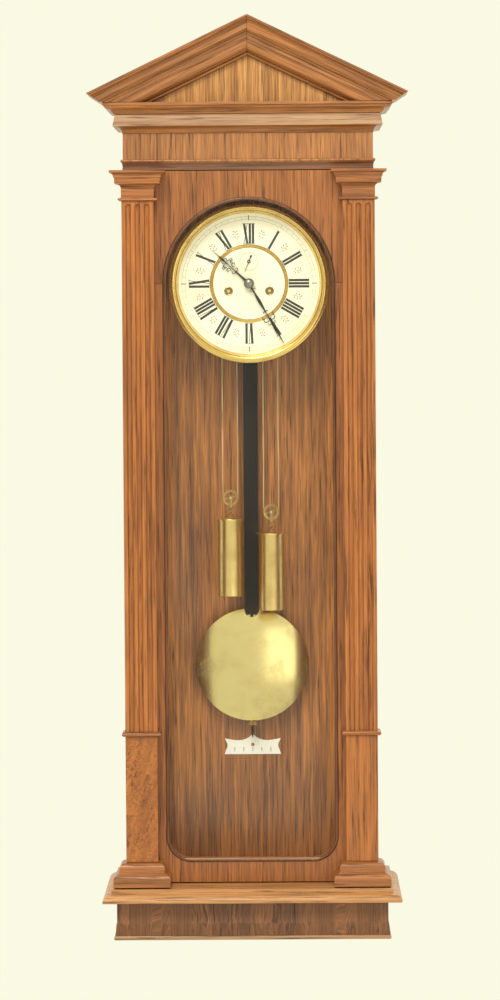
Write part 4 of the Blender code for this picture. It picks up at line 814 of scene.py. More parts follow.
# %% Shelf and apron
shelf, apron = Span("base_shelf"), Span("apron")
NOSE, APRON_OUT, WALL, PAST_WALL = 11.0 * MM, 3.6 * MM, 14 * MM, 10 * MM
shelf_half, shelf_y = shelf.size.x / 2 - NOSE, shelf.low.y + NOSE
z = shelf.low.z
shape = Profile(8.5 * MM, z).quarter(NOSE, z + 1.8 * MM, False).to(10.8 * MM, z + 3.4 * MM)
shape.to(9.2 * MM, z + 6.4 * MM).to(6.0 * MM, z + 8.9 * MM).to(1.9 * MM, z + 10.3 * MM)
shape.to(1.2 * MM, z + 10.5 * MM).to(0, z + 11.0 * MM).to(0, shelf.high.z)
bm = run_moulding(shape, -shelf_half, shelf_half, shelf_y, shelf.high.y)
# The shelf's pale tone is partly wear and partly a painted highlight.
piece("shelf_nosed", bm, oak["shelf"], "base_shelf", 0.5 * MM, sharp=30)

z = apron.low.z
apron_half, apron_y = apron.size.x / 2 - APRON_OUT, apron.low.y + APRON_OUT
BEAD_TOP = 5.4 * MM
shape = Profile(1.5 * MM, z + BEAD_TOP).cove(0, z + 22.0 * MM).to(0, apron.high.z)
bm = run_moulding(shape, -apron_half, apron_half, apron_y, apron.high.y)


def apron_hollow():
    low = (-apron_half + WALL, apron_y + WALL, z - WALL)
    return box(low, (apron_half - WALL, PAST_WALL, apron.high.z + WALL))


piece("apron_board", carved(bm, apron_hollow()), oak["foot"], "apron", 0.3 * MM)
shape = Profile(1.0 * MM, z).to(1.6 * MM, z + 0.2 * MM).bead(APRON_OUT, z + BEAD_TOP)
bm = run_moulding(shape, -apron_half, apron_half, apron_y, apron.high.y)
# The bead's pale tone is partly wear and partly a painted highlight on its rounded top.
piece("apron_bead", carved(bm, apron_hollow()), oak["ledge"], "apron")

# %% [markdown]
# The whole front of the case is the door, and the pilasters stand on it. A flute is a hollow run with a
# round-nosed plane that stops short in a half dome, so each is cut with a round-ended rod. The shaft, the
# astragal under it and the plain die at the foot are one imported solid, but a maker would use three pieces of
# wood, so three pieces stand for it.

# %% Pilasters
FLUTE_PITCH, FLUTE_R, ASTRAGAL_OUT, ASTRAGAL_HIGH = 11.6 * MM, 3.5 * MM, 4.4 * MM, 6.0 * MM
DIE_HIGH, FLUTE_TOP = 158 * MM, 3.4 * MM


def pilaster(label):
    node = "pilaster_" + label
    whole = Span(node)
    middle, half = whole.middle.x, whole.size.x / 2 - ASTRAGAL_OUT
    front, back = whole.low.y + ASTRAGAL_OUT, whole.high.y
    ring_low = whole.low.z - GAP + DIE_HIGH
    ring_high = ring_low + ASTRAGAL_HIGH
    left, right = middle - half, middle + half
    crown_z = whole.high.z - FLUTE_TOP
    dome = arc((0, crown_z - FLUTE_R), FLUTE_R, 0, 90, 8)[:-1]
    flutes = [lathe([(0, ring_low), (FLUTE_R, ring_low), *dome, (0, crown_z)],
                    (middle + (k - 1) * FLUTE_PITCH, front, 0), sides=32) for k in range(3)]
    shaft = carved(box((left, front, ring_high), (right, back, whole.high.z)), *flutes)
    piece("shaft_" + label, shaft, oak["pilaster"], node, 0.35 * MM, sharp=40)
    shape = Profile(0, ring_low).bead(ASTRAGAL_OUT, ring_high)
    piece("astragal_" + label, run_moulding(shape, left, right, front, back), oak["moulding"], node)
    die = box((left, front, whole.low.z), (right, back, ring_low))
    piece("die_" + label, die, oak["die_" + label], node, 0.5 * MM)
    return left, right, front, back


def capital(label, left, right, front, back):
    whole = Span("capital_" + label)
    z = whole.low.z
    shape = Profile(1.0 * MM, z).bead(4.6 * MM, z + 3.9 * MM).to(0.5 * MM, z + 4.1 * MM)
    shape.to(0.5 * MM, z + 15.6 * MM).cove(7.6 * MM, z + 21.2 * MM).to(8.2 * MM, z + 21.4 * MM)
    shape.to(8.6 * MM, z + 28.8 * MM).to(9.6 * MM, z + 29.0 * MM).cove(14.0 * MM, z + 34.9 * MM)
    shape.to(14.7 * MM, z + 35.1 * MM).to(14.7 * MM, whole.high.z)
    bm = run_moulding(shape, left, right, front, back)
    piece("capital_turned_" + label, bm, oak["moulding"], "capital_" + label, 0.25 * MM)


def pilaster_base(label, left, right, front, back):
    whole = Span("pilaster_base_" + label)
    z, top = whole.low.z, whole.high.z
    out = (whole.size.x - (right - left)) / 2
    shape = Profile(out - 0.5 * MM, z).to(out, z + 0.5 * MM).to(out, z + 9.3 * MM)
    shape.quarter(10.6 * MM, z + 15.2 * MM, True).to(10.4 * MM, z + 16.6 * MM).to(8.4 * MM, z + 16.9 * MM)
    shape.to(8.4 * MM, z + 22.6 * MM).quarter(1.6 * MM, top - 0.2 * MM, True).to(1.2 * MM, top)
    bm = run_moulding(shape, left, right, front, back)
    piece("stepped_base_" + label, bm, oak["moulding"], "pilaster_base_" + label, 0.4 * MM)


for label in ("left", "right"):
    edges = pilaster(label)
    capital(label, *edges)
    pilaster_base(label, *edges)
print("mouldings made")

# %% [markdown]
# The door frame: two stiles, an arched head sawn from one wide board, and a bottom rail whose upper corners
# are rounded. A dark half-round lip runs right round the opening, on the frame's inner edge; it is one tube
# swept along the opening's outline, which is the best tool for a moulding that follows a curve.

# %% Door frame
glass, rail, head = Span("door_glass"), Span("door_rail"), Span("door_head")
opening_half = glass.size.x / 2 + GAP
arch_z = glass.high.z + GAP - opening_half
opening_low = glass.low.z - GAP
CORNER_R, LIP_R = 29 * MM, 2.1 * MM


def opening_path(grow):
    """The arched outline of the door's opening, drawn out by grow."""
    half, low_x, low_z = opening_half + grow, opening_half - CORNER_R, opening_low + CORNER_R
    points = arc((0, arch_z), half, 0, 180, 72)
    points += arc((-low_x, low_z), CORNER_R + grow, 180, 270, 14)
    return points + arc((low_x, low_z), CORNER_R + grow, 270, 360, 14)


outer = head.high.x
wide = opening_half + GAP / 2
for hand, label in ((-1, "left"), (1, "right")):
    stile = Span("door_stile_" + label)
    low = (min(hand * outer, hand * wide), stile.low.y, stile.low.z)
    high = (max(hand * outer, hand * wide), stile.high.y, stile.high.z)
    piece("stile_" + label, box(low, high), oak["stile"], "door_stile_" + label, 0.4 * MM)

outline = [(-outer, head.low.z)] + arc((0, arch_z), opening_half, 180, 0, 72)
outline += [(outer, head.low.z), (outer, head.high.z), (-outer, head.high.z)]
piece("arched_head", slab(outline, head.low.y, head.size.y), oak["head"], "door_head", 0.4 * MM)

outline = [(-opening_half, rail.low.z), (opening_half, rail.low.z)]
inside, corner_z = opening_half - CORNER_R, opening_low + CORNER_R
outline += arc((inside, corner_z), CORNER_R, 360, 270, 14)
outline += arc((-inside, corner_z), CORNER_R, 270, 180, 14)
piece("bottom_rail", slab(outline, rail.low.y, rail.size.y), oak["stile"], "door_rail", 0.4 * MM)

door_y = Span("door_head").low.y
path = [(x, door_y + 0.4 * MM, h) for x, h in opening_path(LIP_R * 0.55)]
piece("opening_lip", tube(path, LIP_R, 14, closed=True), oak["lip"], (), body="door")
bead_y, bead_z, bead_half = door_y - 0.2 * MM, opening_low + 0.9 * MM, opening_half - CORNER_R * 0.7
bead = tube([(-bead_half, bead_y, bead_z), (0, bead_y, bead_z), (bead_half, bead_y, bead_z)], 1.2 * MM, 12)
# Pale tone, as on the ledge: partly wear and partly a painted highlight.
piece("rail_bead", bead, oak["ledge"], (), body="door")

# %% [markdown]
# The dial is a cream enamel ring and a cream centre, with a spun brass ring between them, all under a spun
# brass bezel. The bezel's profile has a milled outer edge and three ribs, and the milling is a wave in the
# lathe's radius as it goes round.

# %% Dial and bezel
DIAL_C = (centre_x, 0, centre_z)
dial_face = dial.low.y
pan, middle_disc, bezel = Span("dial_pan"), Span("dial_centre"), Span("bezel")
dial_r, disc_r, bezel_r = dial.size.x / 2, middle_disc.size.x / 2, bezel.size.x / 2
ring_inner, ring_outer = disc_r + GAP, 49.6 * MM
WINDING = [(-26.0 * MM, -9.5 * MM), (26.0 * MM, -9.5 * MM)]
SECONDS_RISE, KEY_R = 28 * MM, 5.7 * MM


def around_dial(radius, degrees):
    """A point (x, z), the angle clockwise from twelve."""
    turn = math.radians(degrees)
    return centre_x + radius * math.sin(turn), centre_z + radius * math.cos(turn)


def hole(x, rise, radius, sides=32):
    return arc((centre_x + x, centre_z + rise), radius, 0, 360 - 360 / sides, sides - 1)


holes = [hole(x, rise, KEY_R) for x, rise in WINDING]
holes += [hole(0, 0, 4.2 * MM), hole(0, SECONDS_RISE, 1.8 * MM)]
disc = slab(hole(0, 0, disc_r, 120), dial_face, middle_disc.size.y, holes)
piece("centre_enamel", disc, enamel, "dial_centre", 0.2 * MM)
ring = slab(hole(0, 0, dial_r, 160), dial_face, dial.size.y, [hole(0, 0, ring_outer + GAP, 120)])
piece("chapter_enamel", ring, enamel, "dial_chapter_ring", 0.2 * MM)
back = slab(hole(0, 0, dial_r, 96), pan.high.y - 1.0 * MM, 1.0 * MM, holes)
piece("pan_plate", back, plate_brass, "dial_pan")
proud = pan.low.y - dial_face
shape = [(ring_outer, dial.high.y), (ring_outer, dial_face)]
width = (ring_outer - ring_inner) / 3
for rib in range(3):
    start = ring_outer - rib * width
    for share in (0.15, 0.35, 0.5, 0.65, 0.85):
        shape.append((start - width * share, dial_face + proud * math.sin(math.pi * share)))
shape += [(ring_inner, dial_face), (ring_inner, dial.high.y)]
piece("centre_ring", lathe(shape, DIAL_C, "Y", 160, ring=True), bezel_brass, "dial_pan")

for label, (x, rise) in zip(("left", "right"), WINDING):
    spot = (centre_x + x, 0, centre_z + rise)
    shape = [(KEY_R - 0.1 * MM, dial.high.y), (KEY_R - 0.1 * MM, dial_face - 0.25 * MM)]
    shape += [(KEY_R - 0.8 * MM, dial_face - 0.45 * MM), (KEY_R - 1.6 * MM, dial_face - 0.1 * MM)]
    shape += [(KEY_R - 1.9 * MM, dial_face + 0.6 * MM), (KEY_R - 1.9 * MM, dial.high.y)]
    collet = lathe(shape, spot, "Y", 48, ring=True)
    piece("winding_collet_" + label, collet, dull_brass, (), body="case")

MILLS, MILL_BACK, MILL_HALF, MILL_DEEP, EDGE_WIDE = 150, 2.2 * MM, 1.6 * MM, 0.55 * MM, 2.4 * MM
front = bezel.low.y


def milled(radius, along, turn):
    near = max(0.0, 1 - abs(along - (front + MILL_BACK)) / MILL_HALF)
    on_edge = near * (radius > bezel_r - EDGE_WIDE)
    return -MILL_DEEP * on_edge * (0.5 + 0.5 * math.cos(MILLS * turn))


inner_r = bezel_r - 11.3 * MM
shape = [(bezel_r, bezel.high.y), (bezel_r, front + 4.2 * MM), (bezel_r - 0.5 * MM, front + 3.8 * MM)]
shape += [(bezel_r, front + 3.4 * MM), (bezel_r, front + MILL_BACK), (bezel_r - 0.2 * MM, front + 1.5 * MM)]
shape += [(bezel_r - 0.8 * MM, front + 1.1 * MM), (bezel_r - 1.3 * MM, front + 1.1 * MM)]
shape += [(bezel_r - 1.6 * MM - 3.0 * MM * s, front + 1.0 * MM - 1.0 * MM * math.sin(math.pi / 2 * s))
          for s in (0, 0.2, 0.4, 0.6, 0.8, 1)]
shape += [(bezel_r - 5.4 * MM, front + 0.2 * MM), (bezel_r - 5.7 * MM, front + 1.3 * MM)]
shape += [(bezel_r - 6.1 * MM - 2.2 * MM * s, front + 1.6 * MM + 1.6 * MM * s * s)
          for s in (0, 0.3, 0.6, 0.9)]
shape += [(bezel_r - 8.7 * MM, front + 2.6 * MM), (bezel_r - 9.1 * MM, front + 2.8 * MM)]
shape += [(bezel_r - 9.5 * MM, front + 4.6 * MM), (bezel_r - 10.2 * MM, front + 8.0 * MM)]
shape += [(inner_r + 0.4 * MM, dial_face - 1.0 * MM), (inner_r, dial_face - GAP)]
shape += [(dial_r + 0.5 * MM, dial_face - GAP), (dial_r + 0.5 * MM, bezel.high.y)]
bm = lathe(shape, DIAL_C, "Y", MILLS * 4, ring=True, wave=milled)
piece("bezel_spun", bm, bezel_brass, "bezel", sharp=50)

# %% [markdown]
# The dial's painting is thin raised paint, so it is real geometry that keeps its edges in any export: Roman
# hours set radially in thick and hairline strokes, the minute track, a small seconds circle, and a little
# painted sprig between each two hours. A stroke is a flat strip on the enamel; a numeral is a list of strokes
# measured across and up its own small page.

# %% Painting the dial
PAINT = 0.06 * MM
NUMERAL_LOW, NUMERAL_HIGH, THICK, HAIR, PITCH = 50.6 * MM, 76.0 * MM, 3.0 * MM, 0.45 * MM, 4.0 * MM
TRACK, QUARTER_MARK = (81.0 * MM, 85.0 * MM), (80.0 * MM, 86.4 * MM)
SECONDS_TRACK, SECOND_MARK, FIVE_MARK = 11.6 * MM, 10.4 * MM, 9.6 * MM
SPRIG_OUT = 63.0 * MM
TWIGS = ((-3.6, 2.8, 1), (-2.4, 3.2, -1), (0.2, 3.6, 1), (1.2, 3.4, -1), (3.6, 2.4, 1), (4.4, 2.2, -1))
HOURS = ("XII", "I", "II", "III", "IIII", "V", "VI", "VII", "VIII", "IX", "X", "XI")
WIDTHS = {"I": 1.0, "V": 1.75, "X": 1.75}


def edges_of(path, widths):
    """The two edges of a strip along a path of points, with a width at each."""
    sides = []
    for i, (x, z) in enumerate(path):
        a, b = path[max(i - 1, 0)], path[min(i + 1, len(path) - 1)]
        length = math.hypot(b[0] - a[0], b[1] - a[1])
        nx, nz = -(b[1] - a[1]) / length * widths[i] / 2, (b[0] - a[0]) / length * widths[i] / 2
        sides.append(((x + nx, z + nz), (x - nx, z - nz)))
    return sides


class Painting:
    """Flat strips of paint on the enamel, gathered into one mesh."""

    def __init__(self):
        self.bm = bmesh.new()

    def patch(self, corners):
        """One closed tile of paint over (x, z) corners."""
        back = [self.bm.verts.new((x, dial_face - 0.005 * MM, z)) for x, z in corners]
        front = [self.bm.verts.new((x, dial_face - PAINT, z)) for x, z in corners]
        self.bm.faces.new(back)
        self.bm.faces.new(front[::-1])
        for i, j in zip(range(len(corners)), [*range(1, len(corners)), 0]):
            self.bm.faces.new((back[i], front[i], front[j], back[j]))

    def strip(self, path, widths):
        """A stroke along a path of (x, z), with a width at each point."""
        sides = edges_of(path, widths)
        for (a, b), (d, c) in zip(sides, sides[1:]):
            self.patch([a, b, c, d])

    def circle(self, centre, radius, width, start=0, end=360, steps=180):
        inner, outer = (arc(centre, radius + s * width / 2, start, end, steps) for s in (-1, 1))
        for i in range(steps):
            self.patch([inner[i], outer[i], outer[i + 1], inner[i + 1]])


def numeral(painting, word, degrees):
    turn = math.radians(degrees)
    total = sum(WIDTHS[c] for c in word) * PITCH

    def page(across, up):
        return (centre_x + up * math.sin(turn) + across * math.cos(turn),
                centre_z + up * math.cos(turn) - across * math.sin(turn))

    def stroke(low, high, width):
        painting.strip([page(low, NUMERAL_LOW), page(high, NUMERAL_HIGH)], [width, width])

    at = -total / 2
    for letter in word:
        width = WIDTHS[letter] * PITCH
        left, right, middle = at + THICK * 0.55, at + width - THICK * 0.45, at + width / 2
        if letter == "I":
            stroke(middle, middle, THICK)
        elif letter == "V":
            stroke(middle - 0.4 * MM, left, THICK)
            stroke(middle + 0.5 * MM, right, HAIR * 1.6)
        else:
            stroke(right, left, THICK)
            stroke(left, right, HAIR * 1.6)
        at += width
    for up in (NUMERAL_LOW, NUMERAL_HIGH):
        edge = total / 2 + 0.3 * MM
        painting.strip([page(-edge, up), page(edge, up)], [HAIR, HAIR])


black, track, red, sage = Painting(), Painting(), Painting(), Painting()
for hour, word in enumerate(HOURS):
    numeral(black, word, 30 * hour)
for radius in TRACK:
    track.circle((centre_x, centre_z), radius, 0.32 * MM)
for minute in range(60):
    strong = minute % 15 == 0
    width = 0.9 * MM if strong else (0.55 * MM if minute % 5 == 0 else 0.3 * MM)
    ends = [around_dial(r, 6 * minute) for r in (QUARTER_MARK if strong else TRACK)]
    (black if strong else track).strip(ends, [width, width])
seconds_c = (centre_x, centre_z + SECONDS_RISE)
track.circle(seconds_c, SECONDS_TRACK, 0.28 * MM, steps=96)
for mark in range(60):
    turn = math.radians(6 * mark)
    reach = (SECOND_MARK if mark % 5 else FIVE_MARK, SECONDS_TRACK)
    ends = [(seconds_c[0] + r * math.sin(turn), seconds_c[1] + r * math.cos(turn)) for r in reach]
    track.strip(ends, [0.25 * MM] * 2)


def sprig(degrees):
    """A stem with three pairs of leaves, drawn in the half-hour space."""
    turn = math.radians(degrees)
    x0, z0 = around_dial(SPRIG_OUT, degrees)

    def page(across, up):
        return (x0 + (up * math.sin(turn) + across * math.cos(turn)) * MM,
                z0 + (up * math.cos(turn) - across * math.sin(turn)) * MM)

    stem = [page(0.9 * math.sin(s * 1.3), s * 1.5) for s in range(-4, 5)]
    sage.strip(stem, [0.35 * MM] * len(stem))
    for up, reach, side in TWIGS:
        twig = [page(side * reach * s, up + 1.6 * s * s) for s in (0.1, 0.4, 0.7)]
        sage.strip(twig, [0.28 * MM] * 3)
        petal = [page(side * reach * s, up + 1.6 * s * s) for s in (0.6, 0.75, 0.9, 1.05)]
        red.strip(petal, [0.35 * MM, 1.2 * MM, 1.3 * MM, 0.3 * MM])


for hour in range(12):
    sprig(30 * hour + 15)
for name, painting, material in (("hour_numerals", black, ink), ("minute_track", track, faint_ink),
                                 ("sprig_petals", red, sprig_red), ("sprig_stems", sage, sprig_grey)):
    piece(name, painting.bm, material, (), body="case")
print("dial painted")

# %% [markdown]
# The hands are pierced from thin blued steel: a straight shank, a nest of scrolls, and a leaf for the point.
# A scroll is a strip of steel along a curve, so each hand is a handful of strips laid over each other and
# mirrored about the hand's middle line. They are drawn at twelve and then turned to their place.


# %% Hands
class Hand:
    """A hand of sheet steel, drawn upwards from its centre in millimetres."""

    def __init__(self, centre, degrees, back, thick):
        self.bm = bmesh.new()
        self.centre, self.turn, self.back, self.thick = centre, math.radians(degrees), back, thick

    def strip(self, path, widths, both=True):
        for side in ((1, -1) if both else (1,)):
            self.one_strip([(side * x, z) for x, z in path], widths)

    def one_strip(self, path, widths):
        loops = []
        for pair in edges_of(path, widths):
            corners = [(p, depth) for p in pair for depth in (0, 1)]
            order = (corners[0], corners[1], corners[3], corners[2])
            loops.append([self.bm.verts.new(self.spot(p, depth)) for p, depth in order])
        for low, high in zip(loops, loops[1:]):
            for k in range(4):
                j = (k + 1) % 4
                self.bm.faces.new((low[k], low[j], high[j], high[k]))
        self.bm.faces.new(loops[0])
        self.bm.faces.new(loops[-1])

    def spot(self, point, depth):
        x, z = point[0] * MM, point[1] * MM
        cos, sin = math.cos(self.turn), math.sin(self.turn)
        return (self.centre[0] + x * cos + z * sin, self.back - depth * self.thick,
                self.centre[1] - x * sin + z * cos)

    def scroll(self, centre, start_r, end_r, start, end, width, steps=14):
        """A spiral strip, angles in degrees from the hand's right."""
        turns = [math.radians(start + (end - start) * i / steps) for i in range(steps + 1)]
        radii = [start_r + (end_r - start_r) * i / steps for i in range(steps + 1)]
        path = [(centre[0] + r * math.cos(t), centre[1] + r * math.sin(t)) for r, t in zip(radii, turns)]
        widths = [width * (0.55 + 0.45 * math.sin(math.pi * i / steps)) for i in range(steps + 1)]
        self.strip(path, widths)


def collar(centre, bore, radius, back, thick, sides=48):
    """The plain ring that a hand turns on."""
    shape = [(bore, back), (radius, back), (radius, back - thick), (bore, back - thick)]
    return lathe(shape, (centre[0], 0, centre[1]), "Y", sides, ring=True)


centre = (centre_x, centre_z)
hour_span, minute_span, seconds_span = Span("hour_hand"), Span("minute_hand"), Span("seconds_hand")
hour = Hand(centre, 312.5, hour_span.high.y - 0.1 * MM, 1.0 * MM)
hour.strip([(0, 4.6), (0, 12), (0, 22)], [3.6, 2.6, 1.8], both=False)
hour.strip([(0, 22), (0, 30), (0, 42)], [1.4, 1.1, 1.0], both=False)
hour.scroll((2.6, 24.0), 2.6, 1.2, 180, 480, 1.0)
hour.scroll((5.0, 30.5), 3.4, 1.2, 250, -60, 1.1)
hour.scroll((3.6, 36.5), 3.6, 1.4, 180, -110, 1.1)
hour.scroll((7.0, 37.5), 2.4, 0.9, 200, 500, 0.9)
hour.scroll((2.4, 42.0), 2.6, 1.0, 200, -90, 0.9)
hour.strip([(0, 40), (0, 44), (0, 48), (0, 54), (0, 63)], [1.0, 2.8, 2.0, 0.9, 0.4], both=False)
bm = merged(hour.bm, collar(centre, 3.95 * MM, 5.8 * MM, hour_span.high.y, 1.2 * MM))
piece("hour_hand_pierced", bm, blued, "hour_hand", 0.12 * MM, segments=1)

minute_back = hour_span.high.y - 3.2 * MM
minute = Hand(centre, 150.0, minute_back, 1.0 * MM)
minute.strip([(0, 4), (0, 10), (0, 13)], [3.0, 2.2, 2.4], both=False)
minute.scroll((2.4, 9.5), 1.9, 0.8, 150, 460, 0.8)
minute.strip([(0, 12), (0, 20), (0, 27), (0, 34), (0, 41)], [1.4, 3.4, 4.2, 3.0, 1.6], both=False)
minute.strip([(0.2, 41.2), (2.4, 41.0), (3.4, 42.4)], [1.5, 1.2, 0.7])
minute.strip([(0, 41), (0, 52), (0, 62)], [1.4, 1.2, 1.3], both=False)
minute.scroll((4.4, 50.5), 4.4, 2.4, 200, -70, 1.1)
minute.scroll((6.2, 48.2), 2.3, 0.8, 250, 520, 0.8)
minute.scroll((3.0, 57.0), 2.8, 1.0, 200, -60, 0.9)
minute.strip([(0, 58), (0, 64), (0, 72), (0, 80), (0, 88)], [1.2, 2.9, 2.4, 1.5, 0.5], both=False)
bm = merged(minute.bm, collar(centre, 2.6 * MM, 5.0 * MM, minute_back, 1.1 * MM))
piece("minute_hand_pierced", bm, blued, "minute_hand", 0.12 * MM, segments=1)
face, tip = minute_back - 0.7 * MM, minute_span.low.y
BOSS_R, BOSS_EDGE = 6.6 * MM, 1.1 * MM
dome = [(0, face), (BOSS_R, face)]
for k in range(10):
    t = math.pi / 2 * k / 10
    dome.append((BOSS_R * math.cos(t), face - BOSS_EDGE + (tip - face + BOSS_EDGE) * math.sin(t)))
dome.append((0, tip))
piece("hand_boss_domed", lathe(dome, DIAL_C, "Y", 64), boss_steel, "minute_hand")

seconds = Hand(seconds_c, 202.0, seconds_span.high.y - 0.1 * MM, 0.5 * MM)
seconds.strip([(0, 0), (0, 8), (0, 14.8)], [0.8, 0.6, 0.35], both=False)
seconds.strip([(0, 0), (0, -4.5), (0, -6.6), (0, -8.0), (0, -9.0)], [0.9, 0.7, 2.4, 2.0, 0.5], both=False)
ring = collar(seconds_c, 1.2 * MM, 2.1 * MM, seconds_span.high.y, seconds_span.size.y, 32)
bm = merged(seconds.bm, ring)
piece("seconds_hand_blued", bm, blued, "seconds_hand")

# %% [markdown]
# The pendulum: an ebonised wooden rod with a rounded end, a brass lens for a bob, spun in two shells over a
# lead filling, a steel stem through it, and a milled nut under it. The lens is a turned arc, so its
# highlight is one smooth patch and not a set of rings. The slot that the rod passes through is cut from it.

# %% Pendulum
rod, nut = Span("pendulum_rod"), Span("rating_nut")
rod_y, rod_half, rod_thick = rod.middle.y, rod.size.x / 2, rod.size.y
bob_r, bob_c = bob_span.size.x / 2, bob_span.middle
END_IN_BOB, SLOT_HALF, SLOT_HIGH, STEM_R, BORE_R = 8.2 * MM, 1.3 * MM, 5 * MM, 1.6 * MM, 1.9 * MM
rod_end = bob_c.z + bob_r - END_IN_BOB
outline = [(rod_half, rod.high.z), (-rod_half, rod.high.z)]
outline += arc((0, rod_end + rod_half), rod_half, 180, 360, 24)
crutch = Span("pallet_anchor").low.z + 2.0 * MM
low, high = crutch - SLOT_HIGH, crutch + SLOT_HIGH
slot = [(-SLOT_HALF, low), (SLOT_HALF, low), (SLOT_HALF, high), (-SLOT_HALF, high)]
bm = slab(outline, rod_y - rod_thick / 2, rod_thick, [slot])
piece("rod_ebonised", bm, ebonised, "pendulum_rod", 1.0 * MM, segments=3)
stem = [(0, rod.low.z), (0.5 * MM, rod.low.z + 1.0 * MM), (STEM_R, rod.low.z + 7.5 * MM)]
stem += [(STEM_R, rod_end + 4 * MM), (0, rod_end + 4 * MM)]
piece("stem_and_pointer", lathe(stem, (0, rod_y, 0), sides=32), blued, "pendulum_rod")

RIM = 2.2 * MM
deep = bob_span.size.y / 2 - RIM
lens_r = (bob_r ** 2 + deep ** 2) / (2 * deep)
radii = [bob_r * math.sin(math.pi / 2 * k / 24) for k in range(25)]
half_face = [(r, RIM + math.sqrt(lens_r ** 2 - r ** 2) - (lens_r - deep)) for r in radii]
edge = [(bob_r, RIM * math.cos(math.radians(a))) for a in (60, 120)]
profile = half_face[:-1] + [(bob_r - 0.25 * MM, RIM)] + edge
profile += [(bob_r - 0.25 * MM, -RIM)] + [(r, -y) for r, y in half_face[-2::-1]]
lens = lathe(profile, tuple(bob_c), "Y", 160)
notch_end = rod_end - 2.8 * MM
notch_half = rod_half + GAP
notch = [(notch_half, rod.high.z), (-notch_half, rod.high.z)]
notch += arc((0, notch_end + rod_half), notch_half, 180, 360, 24)
low, high = bob_c.z - 2 * bob_r, bob_c.z + 2 * bob_r
bore = lathe([(0, low), (BORE_R, low), (BORE_R, high), (0, high)], (0, rod_y, 0), sides=24)
notch_front, notch_back = bob_span.low.y - 1 * MM, rod_y + rod_thick / 2 + 0.8 * MM
lens = carved(lens, slab(notch, notch_front, notch_back - notch_front), bore)
piece("bob_lens", lens, bob_brass, "pendulum_bob", sharp=40)

nut_r = nut.size.x / 2
KNURLS, KNURL_DEEP, KNURL_HALF, NUT_EDGE = 36, 0.35 * MM, 2.6 * MM, 0.9 * MM


def knurled(radius, along, turn):
    middle = max(0.0, 1 - abs(along - nut.middle.z) / KNURL_HALF)
    deep = KNURL_DEEP * (radius > nut_r - GAP) * min(1.0, 3 * middle)
    return -deep * (0.5 + 0.5 * math.cos(KNURLS * turn))


low, high = nut.low.z, nut.high.z
shape = [(BORE_R, low), (nut_r - NUT_EDGE, low), (nut_r, low + NUT_EDGE), (nut_r, nut.middle.z)]
shape += [(nut_r, high - NUT_EDGE), (nut_r - NUT_EDGE, high), (BORE_R, high)]
bm = lathe(shape, (0, rod_y, 0), sides=144, ring=True, wave=knurled)
piece("rating_nut_milled", bm, dull_brass, "rating_nut")

# %% [markdown]
# The beat plate is a small white scale with a peaked top and swallow-tailed ends. Five ticks along its foot
# show how far the pointer swings, and one brass screw holds it.

# %% Beat plate
beat = Span("beat_plate")
half, top, high = beat.size.x / 2, beat.high.z, beat.size.z
PEAK_CURVE = ((2.4, 2.4), (5.0, 4.6), (9.0, 6.8), (14.0, 8.2), (20.0, 8.6), (27.0, 7.8))
TAIL_CURVE = ((0.2, 6.0), (1.6, 9.0), (3.8, 14.0), (3.4, 17.5), (1.6, 21.5))
outline = [(0, top)] + [(x * MM, top - drop * MM) for x, drop in PEAK_CURVE]
outline += [(half - x * MM, top - drop * MM) for x, drop in TAIL_CURVE] + [(half, top - high)]
outline += [(-x, z) for x, z in outline[:0:-1]]
SHEET, SCREW_DROP, SLOT_LONG, SLOT_WIDE = 1.5 * MM, 14.0 * MM, 3 * MM, 0.25 * MM
TICK_PITCH, TICK_DROP, TICK_HIGH, TICK_HALF = 11.7 * MM, 23.0 * MM, 5.6 * MM, 0.35 * MM
sheet_front = beat.high.y - SHEET
scale = slab(outline, sheet_front, SHEET)
piece("beat_scale", scale, scale_white, "beat_plate", 0.25 * MM)
ticks = []
for k in range(-2, 3):
    x, low = k * TICK_PITCH, top - TICK_DROP
    near, far = sheet_front - PAINT, sheet_front - 0.005 * MM
    ticks.append(box((x - TICK_HALF, near, low), (x + TICK_HALF, far, low + TICK_HIGH)))
piece("beat_ticks", merged(*ticks), ink, (), body="case")
screw = lathe([(0, sheet_front), (2.2 * MM, sheet_front), (2.2 * MM, sheet_front - 0.3 * MM),
               (1.5 * MM, beat.low.y + 0.2 * MM), (0, beat.low.y)], (0, 0, top - SCREW_DROP), "Y", 32)
slot_z = top - SCREW_DROP
slot_cut = box((-SLOT_LONG, beat.low.y - 0.5 * MM, slot_z - SLOT_WIDE),
               (SLOT_LONG, beat.low.y + 0.5 * MM, slot_z + SLOT_WIDE))
piece("beat_screw", carved(screw, slot_cut), dull_brass, "beat_plate", sharp=30)
print("pendulum made")

# %% [markdown]
# Each weight is a long brass shell closed by a wider cap, with an S-shaped hook that holds the pulley's
# stirrup. The shell and cap are turned; the hook is one bent bar; the stirrup is a flat strap bent over the
# pulley, so it is swept as a tube and flattened.

# %% Weights and pulleys
SHELL_R, CAP_OVER, FOOT_R, HOOK_GRIP, STRAP_HALF = 16.2 * MM, 99 * MM, 1.2 * MM, 3.0 * MM, 3.0 * MM
PIN_HALF = ((0, 3.9), (1.0, 3.9), (1.5, 3.5), (1.2, 3.3))   # (radius, out from the middle), in millimetres
line_y = Span("pulley_left").middle.y


